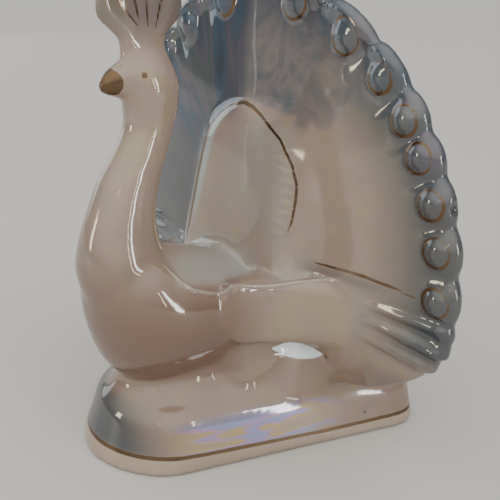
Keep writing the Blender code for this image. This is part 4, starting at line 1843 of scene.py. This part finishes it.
@dataclass
class Casting:
    """The whole casting as one piece."""

    voxel: float = 0.00105
    first_rounds: int = 4
    fillet_rounds: int = 16
    fill: float = 0.6
    wear: float = 0.06
    sharp: float = 0.9
    rim_detail: Patch = Patch(1.0, (REACH.edge(0.76, 0.84), BACK.edge(15.0, 20.0)))
    rim_above: float = 40.0
    crest_detail: Patch = Patch(1.0, (UP.edge(150.0, 156.0),))
    crest_before: float = 5.0
    rump_blend: Patch = Patch(
        0.65,
        (
            ACROSS.edge(2.0, 20.0),
            ACROSS.edge(62.0, 50.0),
            UP.edge(71.0, 78.0),
            UP.edge(134.0, 122.0),
            BACK.edge(8.0, 10.0),
            BACK.edge(30.0, 28.0),
        ),
    )
    rump_rounds: int = 220
    base_blend: Patch = Patch(0.6, (UP.edge(5.0, 8.0), UP.edge(27.0, 21.0)))
    base_rounds: int = 14
    cove_blend: Patch = Patch(
        0.6,
        (
            SIDE.edge(23.0, 28.0),
            SIDE.edge(66.0, 54.0),
            BACK.edge(0.0, 6.0),
            BACK.edge(27.0, 25.0),
            UP.edge(19.0, 24.0),
            UP.edge(40.5, 36.0),
        ),
    )
    cove_rounds: int = 160

    def skin(self, tail: Tail) -> Skin:
        """Fuses the surfaces, fillets the creases and blends the rump, the base and the coves.

        Args:
            tail: The tail, which is one of the casting's parts.

        Returns:
            The casting's skin.
        """
        shells = [*Base().shells(), *Bird().shells(), *tail.shells()]
        skin = fused(shells, self.voxel)
        LOG.info("fused %d surfaces into %d points", len(shells), len(skin.points))
        skin.fillet(self.first_rounds, np.full(len(skin.points), 0.5), 0.5)
        places = survey(figure(skin.points), tail)
        rim = self.rim_detail.share(places) * (places[UP] > self.rim_above)
        crest = self.crest_detail.share(places) * (places[BACK] < self.crest_before)
        rump = self.rump_blend.share(places)
        skin.fillet(self.fillet_rounds, self.fill * (1 - self.sharp * np.maximum(rim, crest)), self.wear)
        skin.fillet(self.rump_rounds, rump, rump)
        for rounds, blend in ((self.base_rounds, self.base_blend), (self.cove_rounds, self.cove_blend)):
            share = blend.share(survey(figure(skin.points), tail))
            skin.fillet(rounds, share, share)
        return skin

    def paint(self, mesh: bpy.types.Mesh, points: Array, brush: Brushwork) -> None:
        """Writes where each colour lies as attributes of the mesh's points.

        Args:
            mesh: The casting's mesh.
            points: Its points in figure units.
            brush: The paint.
        """
        fields = (
            brush.gold,
            brush.tint,
            brush.warmth_and_table_reflection,
            brush.far_side,
            brush.upper,
            brush.stain,
            brush.piping,
            brush.halo,
            brush.vein,
            brush.pool,
            brush.pit_shade,
            brush.foot_band,
        )
        for field in fields:
            layer = mesh.attributes.new(field.__name__, "FLOAT", "POINT")
            layer.data.foreach_set("value", field(points).astype(np.float32))
        layer = mesh.attributes.new("feather", "FLOAT_VECTOR", "POINT")
        layer.data.foreach_set("vector", brush.feather(points).astype(np.float32).ravel())

    def build(self) -> bpy.types.Object:
        """Makes the piece, presses its relief, paints it and dresses it.

        Returns:
            The piece.
        """
        tail = Tail()
        relief = Relief(tail)
        skin = self.skin(tail)
        relief.press(skin)
        skin.fillet(2, np.full(len(skin.points), 0.3), 0.3)
        mesh = bpy.data.meshes.new("peacock_casting")
        mesh.from_pydata(skin.points.tolist(), [], skin.quads.tolist())
        mesh.update()
        self.paint(mesh, figure(skin.points), Brushwork(tail, relief))
        mesh.shade_smooth()
        obj = bpy.data.objects.new("peacock_casting", mesh)
        bpy.context.scene.collection.objects.link(obj)
        mesh.materials.append(PearlGlaze().build())
        LOG.info("%s: %d points, %d faces", obj.name, len(mesh.vertices), len(mesh.polygons))
        return obj


@dataclass(frozen=True)
class Lamp:
    """A soft rectangular studio light, set by its compass direction, height angle and distance."""

    name: str
    compass: float
    rise: float
    distance: float
    size: tuple[float, float]
    radiance: float
    colour: tuple[float, float, float]

    def build(self, aim: Vector) -> None:
        """Adds the light, facing the aim; its power is pi times its area times its radiance.

        Args:
            aim: The point that it faces. The compass runs from +Y over +X.
        """
        compass, rise = math.radians(self.compass), math.radians(self.rise)
        level = math.cos(rise)
        away = Vector((math.sin(compass) * level, math.cos(compass) * level, math.sin(rise)))
        light = bpy.data.lights.new(self.name, "AREA")
        light.shape = "RECTANGLE"
        light.size, light.size_y = self.size
        light.energy = math.pi * self.size[0] * self.size[1] * self.radiance
        light.color = self.colour
        obj = bpy.data.objects.new(self.name, light)
        obj.location = aim + away * self.distance
        obj.rotation_euler = (-away).to_track_quat("-Z", "Y").to_euler()
        bpy.context.scene.collection.objects.link(obj)


@dataclass
class Studio:
    """The pale floor, the soft light and the camera at the photograph's angle."""

    camera_place: tuple[float, float, float] = (0.22261, -0.16224, 0.16521)
    camera_turn: tuple[float, float, float] = (70.5, 0.0, 52.0)
    lens: float = 54.0
    sensor: float = 36.0
    nearest_seen: float = 0.01
    floor_half: float = 14.0
    floor_colour: Colour = (0.60, 0.585, 0.56, 1.0)
    floor_roughness: float = 0.6
    aim: tuple[float, float, float] = (0.0, 0.0, 0.085)
    zenith: tuple[float, float, float] = (0.26, -0.36, 0.90)
    glow_from: tuple[float, float] = (0.10, 1.0)
    low_sky: Colour = (0.23, 0.235, 0.24, 1.0)
    high_sky: Colour = (1.78, 1.74, 1.67, 1.0)
    lamps: tuple[Lamp, ...] = (
        Lamp("strip_cool", 84.5, 10.0, 1.2, (0.085, 0.55), 19.0, (0.93, 0.93, 1.0)),
        Lamp("strip_warm", 95.0, 11.0, 1.2, (0.030, 0.40), 15.0, (1.0, 0.88, 0.70)),
        Lamp("strip_tail", 204.5, 9.5, 1.3, (0.17, 0.30), 12.0, (1.0, 0.86, 0.62)),
        Lamp("back_window", 262.0, 14.0, 2.6, (1.40, 1.20), 1.7, (0.88, 0.94, 1.0)),
        Lamp("small_warm", 150.0, 24.0, 1.3, (0.04, 0.05), 12.0, (1.0, 0.80, 0.52)),
    )

    def floor(self) -> bpy.types.Object:
        """Makes the pale floor, a level square.

        Returns:
            The floor.
        """
        half = self.floor_half
        mesh = bpy.data.meshes.new("floor")
        corners = np.array([(-half, -half, 0), (half, -half, 0), (half, half, 0), (-half, half, 0)])
        mesh.from_pydata(corners.tolist(), [], [(0, 1, 2, 3)])
        floor = bpy.data.objects.new("floor", mesh)
        bpy.context.scene.collection.objects.link(floor)
        material = bpy.data.materials.new("pale_floor")
        material.use_nodes = True
        shader = material.node_tree.nodes["Principled BSDF"]
        shader.inputs["Base Color"].default_value = self.floor_colour
        shader.inputs["Roughness"].default_value = self.floor_roughness
        mesh.materials.append(material)
        return floor

    def sky(self) -> None:
        """Makes the world: an even glow round the horizon that brightens softly towards its zenith."""
        world = bpy.data.worlds.new("studio")
        bpy.context.scene.world = world
        world.use_nodes = True
        sheet = Sheet(world.node_tree)
        toward = sheet.add("ShaderNodeVectorMath", operation="DOT_PRODUCT")
        toward.inputs[1].default_value = self.zenith
        sheet.join(sheet.add("ShaderNodeTexCoord").outputs["Generated"], toward.inputs[0])
        share = sheet.span(toward.outputs["Value"], *self.glow_from)
        glow = sheet.mix(share, self.low_sky, self.high_sky)
        background = sheet.add("ShaderNodeBackground")
        sheet.join(glow, background.inputs[0])
        output = sheet.add("ShaderNodeOutputWorld")
        sheet.join(background.outputs[0], output.inputs["Surface"])

    def build(self) -> None:
        """Adds the floor, the world, the lights and the camera."""
        self.floor()
        self.sky()
        for lamp in self.lamps:
            lamp.build(Vector(self.aim))
        data = bpy.data.cameras.new("camera")
        data.lens = self.lens
        data.sensor_width = self.sensor
        data.clip_start = self.nearest_seen
        camera = bpy.data.objects.new("camera", data)
        camera.location = self.camera_place
        camera.rotation_euler = Euler([math.radians(angle) for angle in self.camera_turn])
        bpy.context.scene.collection.objects.link(camera)
        bpy.context.scene.camera = camera
        LOG.info("studio: floor, sky, %d lights and the camera", len(self.lamps))


def main() -> None:
    """Builds the casting and the studio."""
    logging.basicConfig(level=logging.INFO, format="%(name)s: %(message)s")
    piece = Casting().build()
    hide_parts("peacock")
    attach(piece, "root")
    Studio().build()


if __name__ == "__main__":
    main()
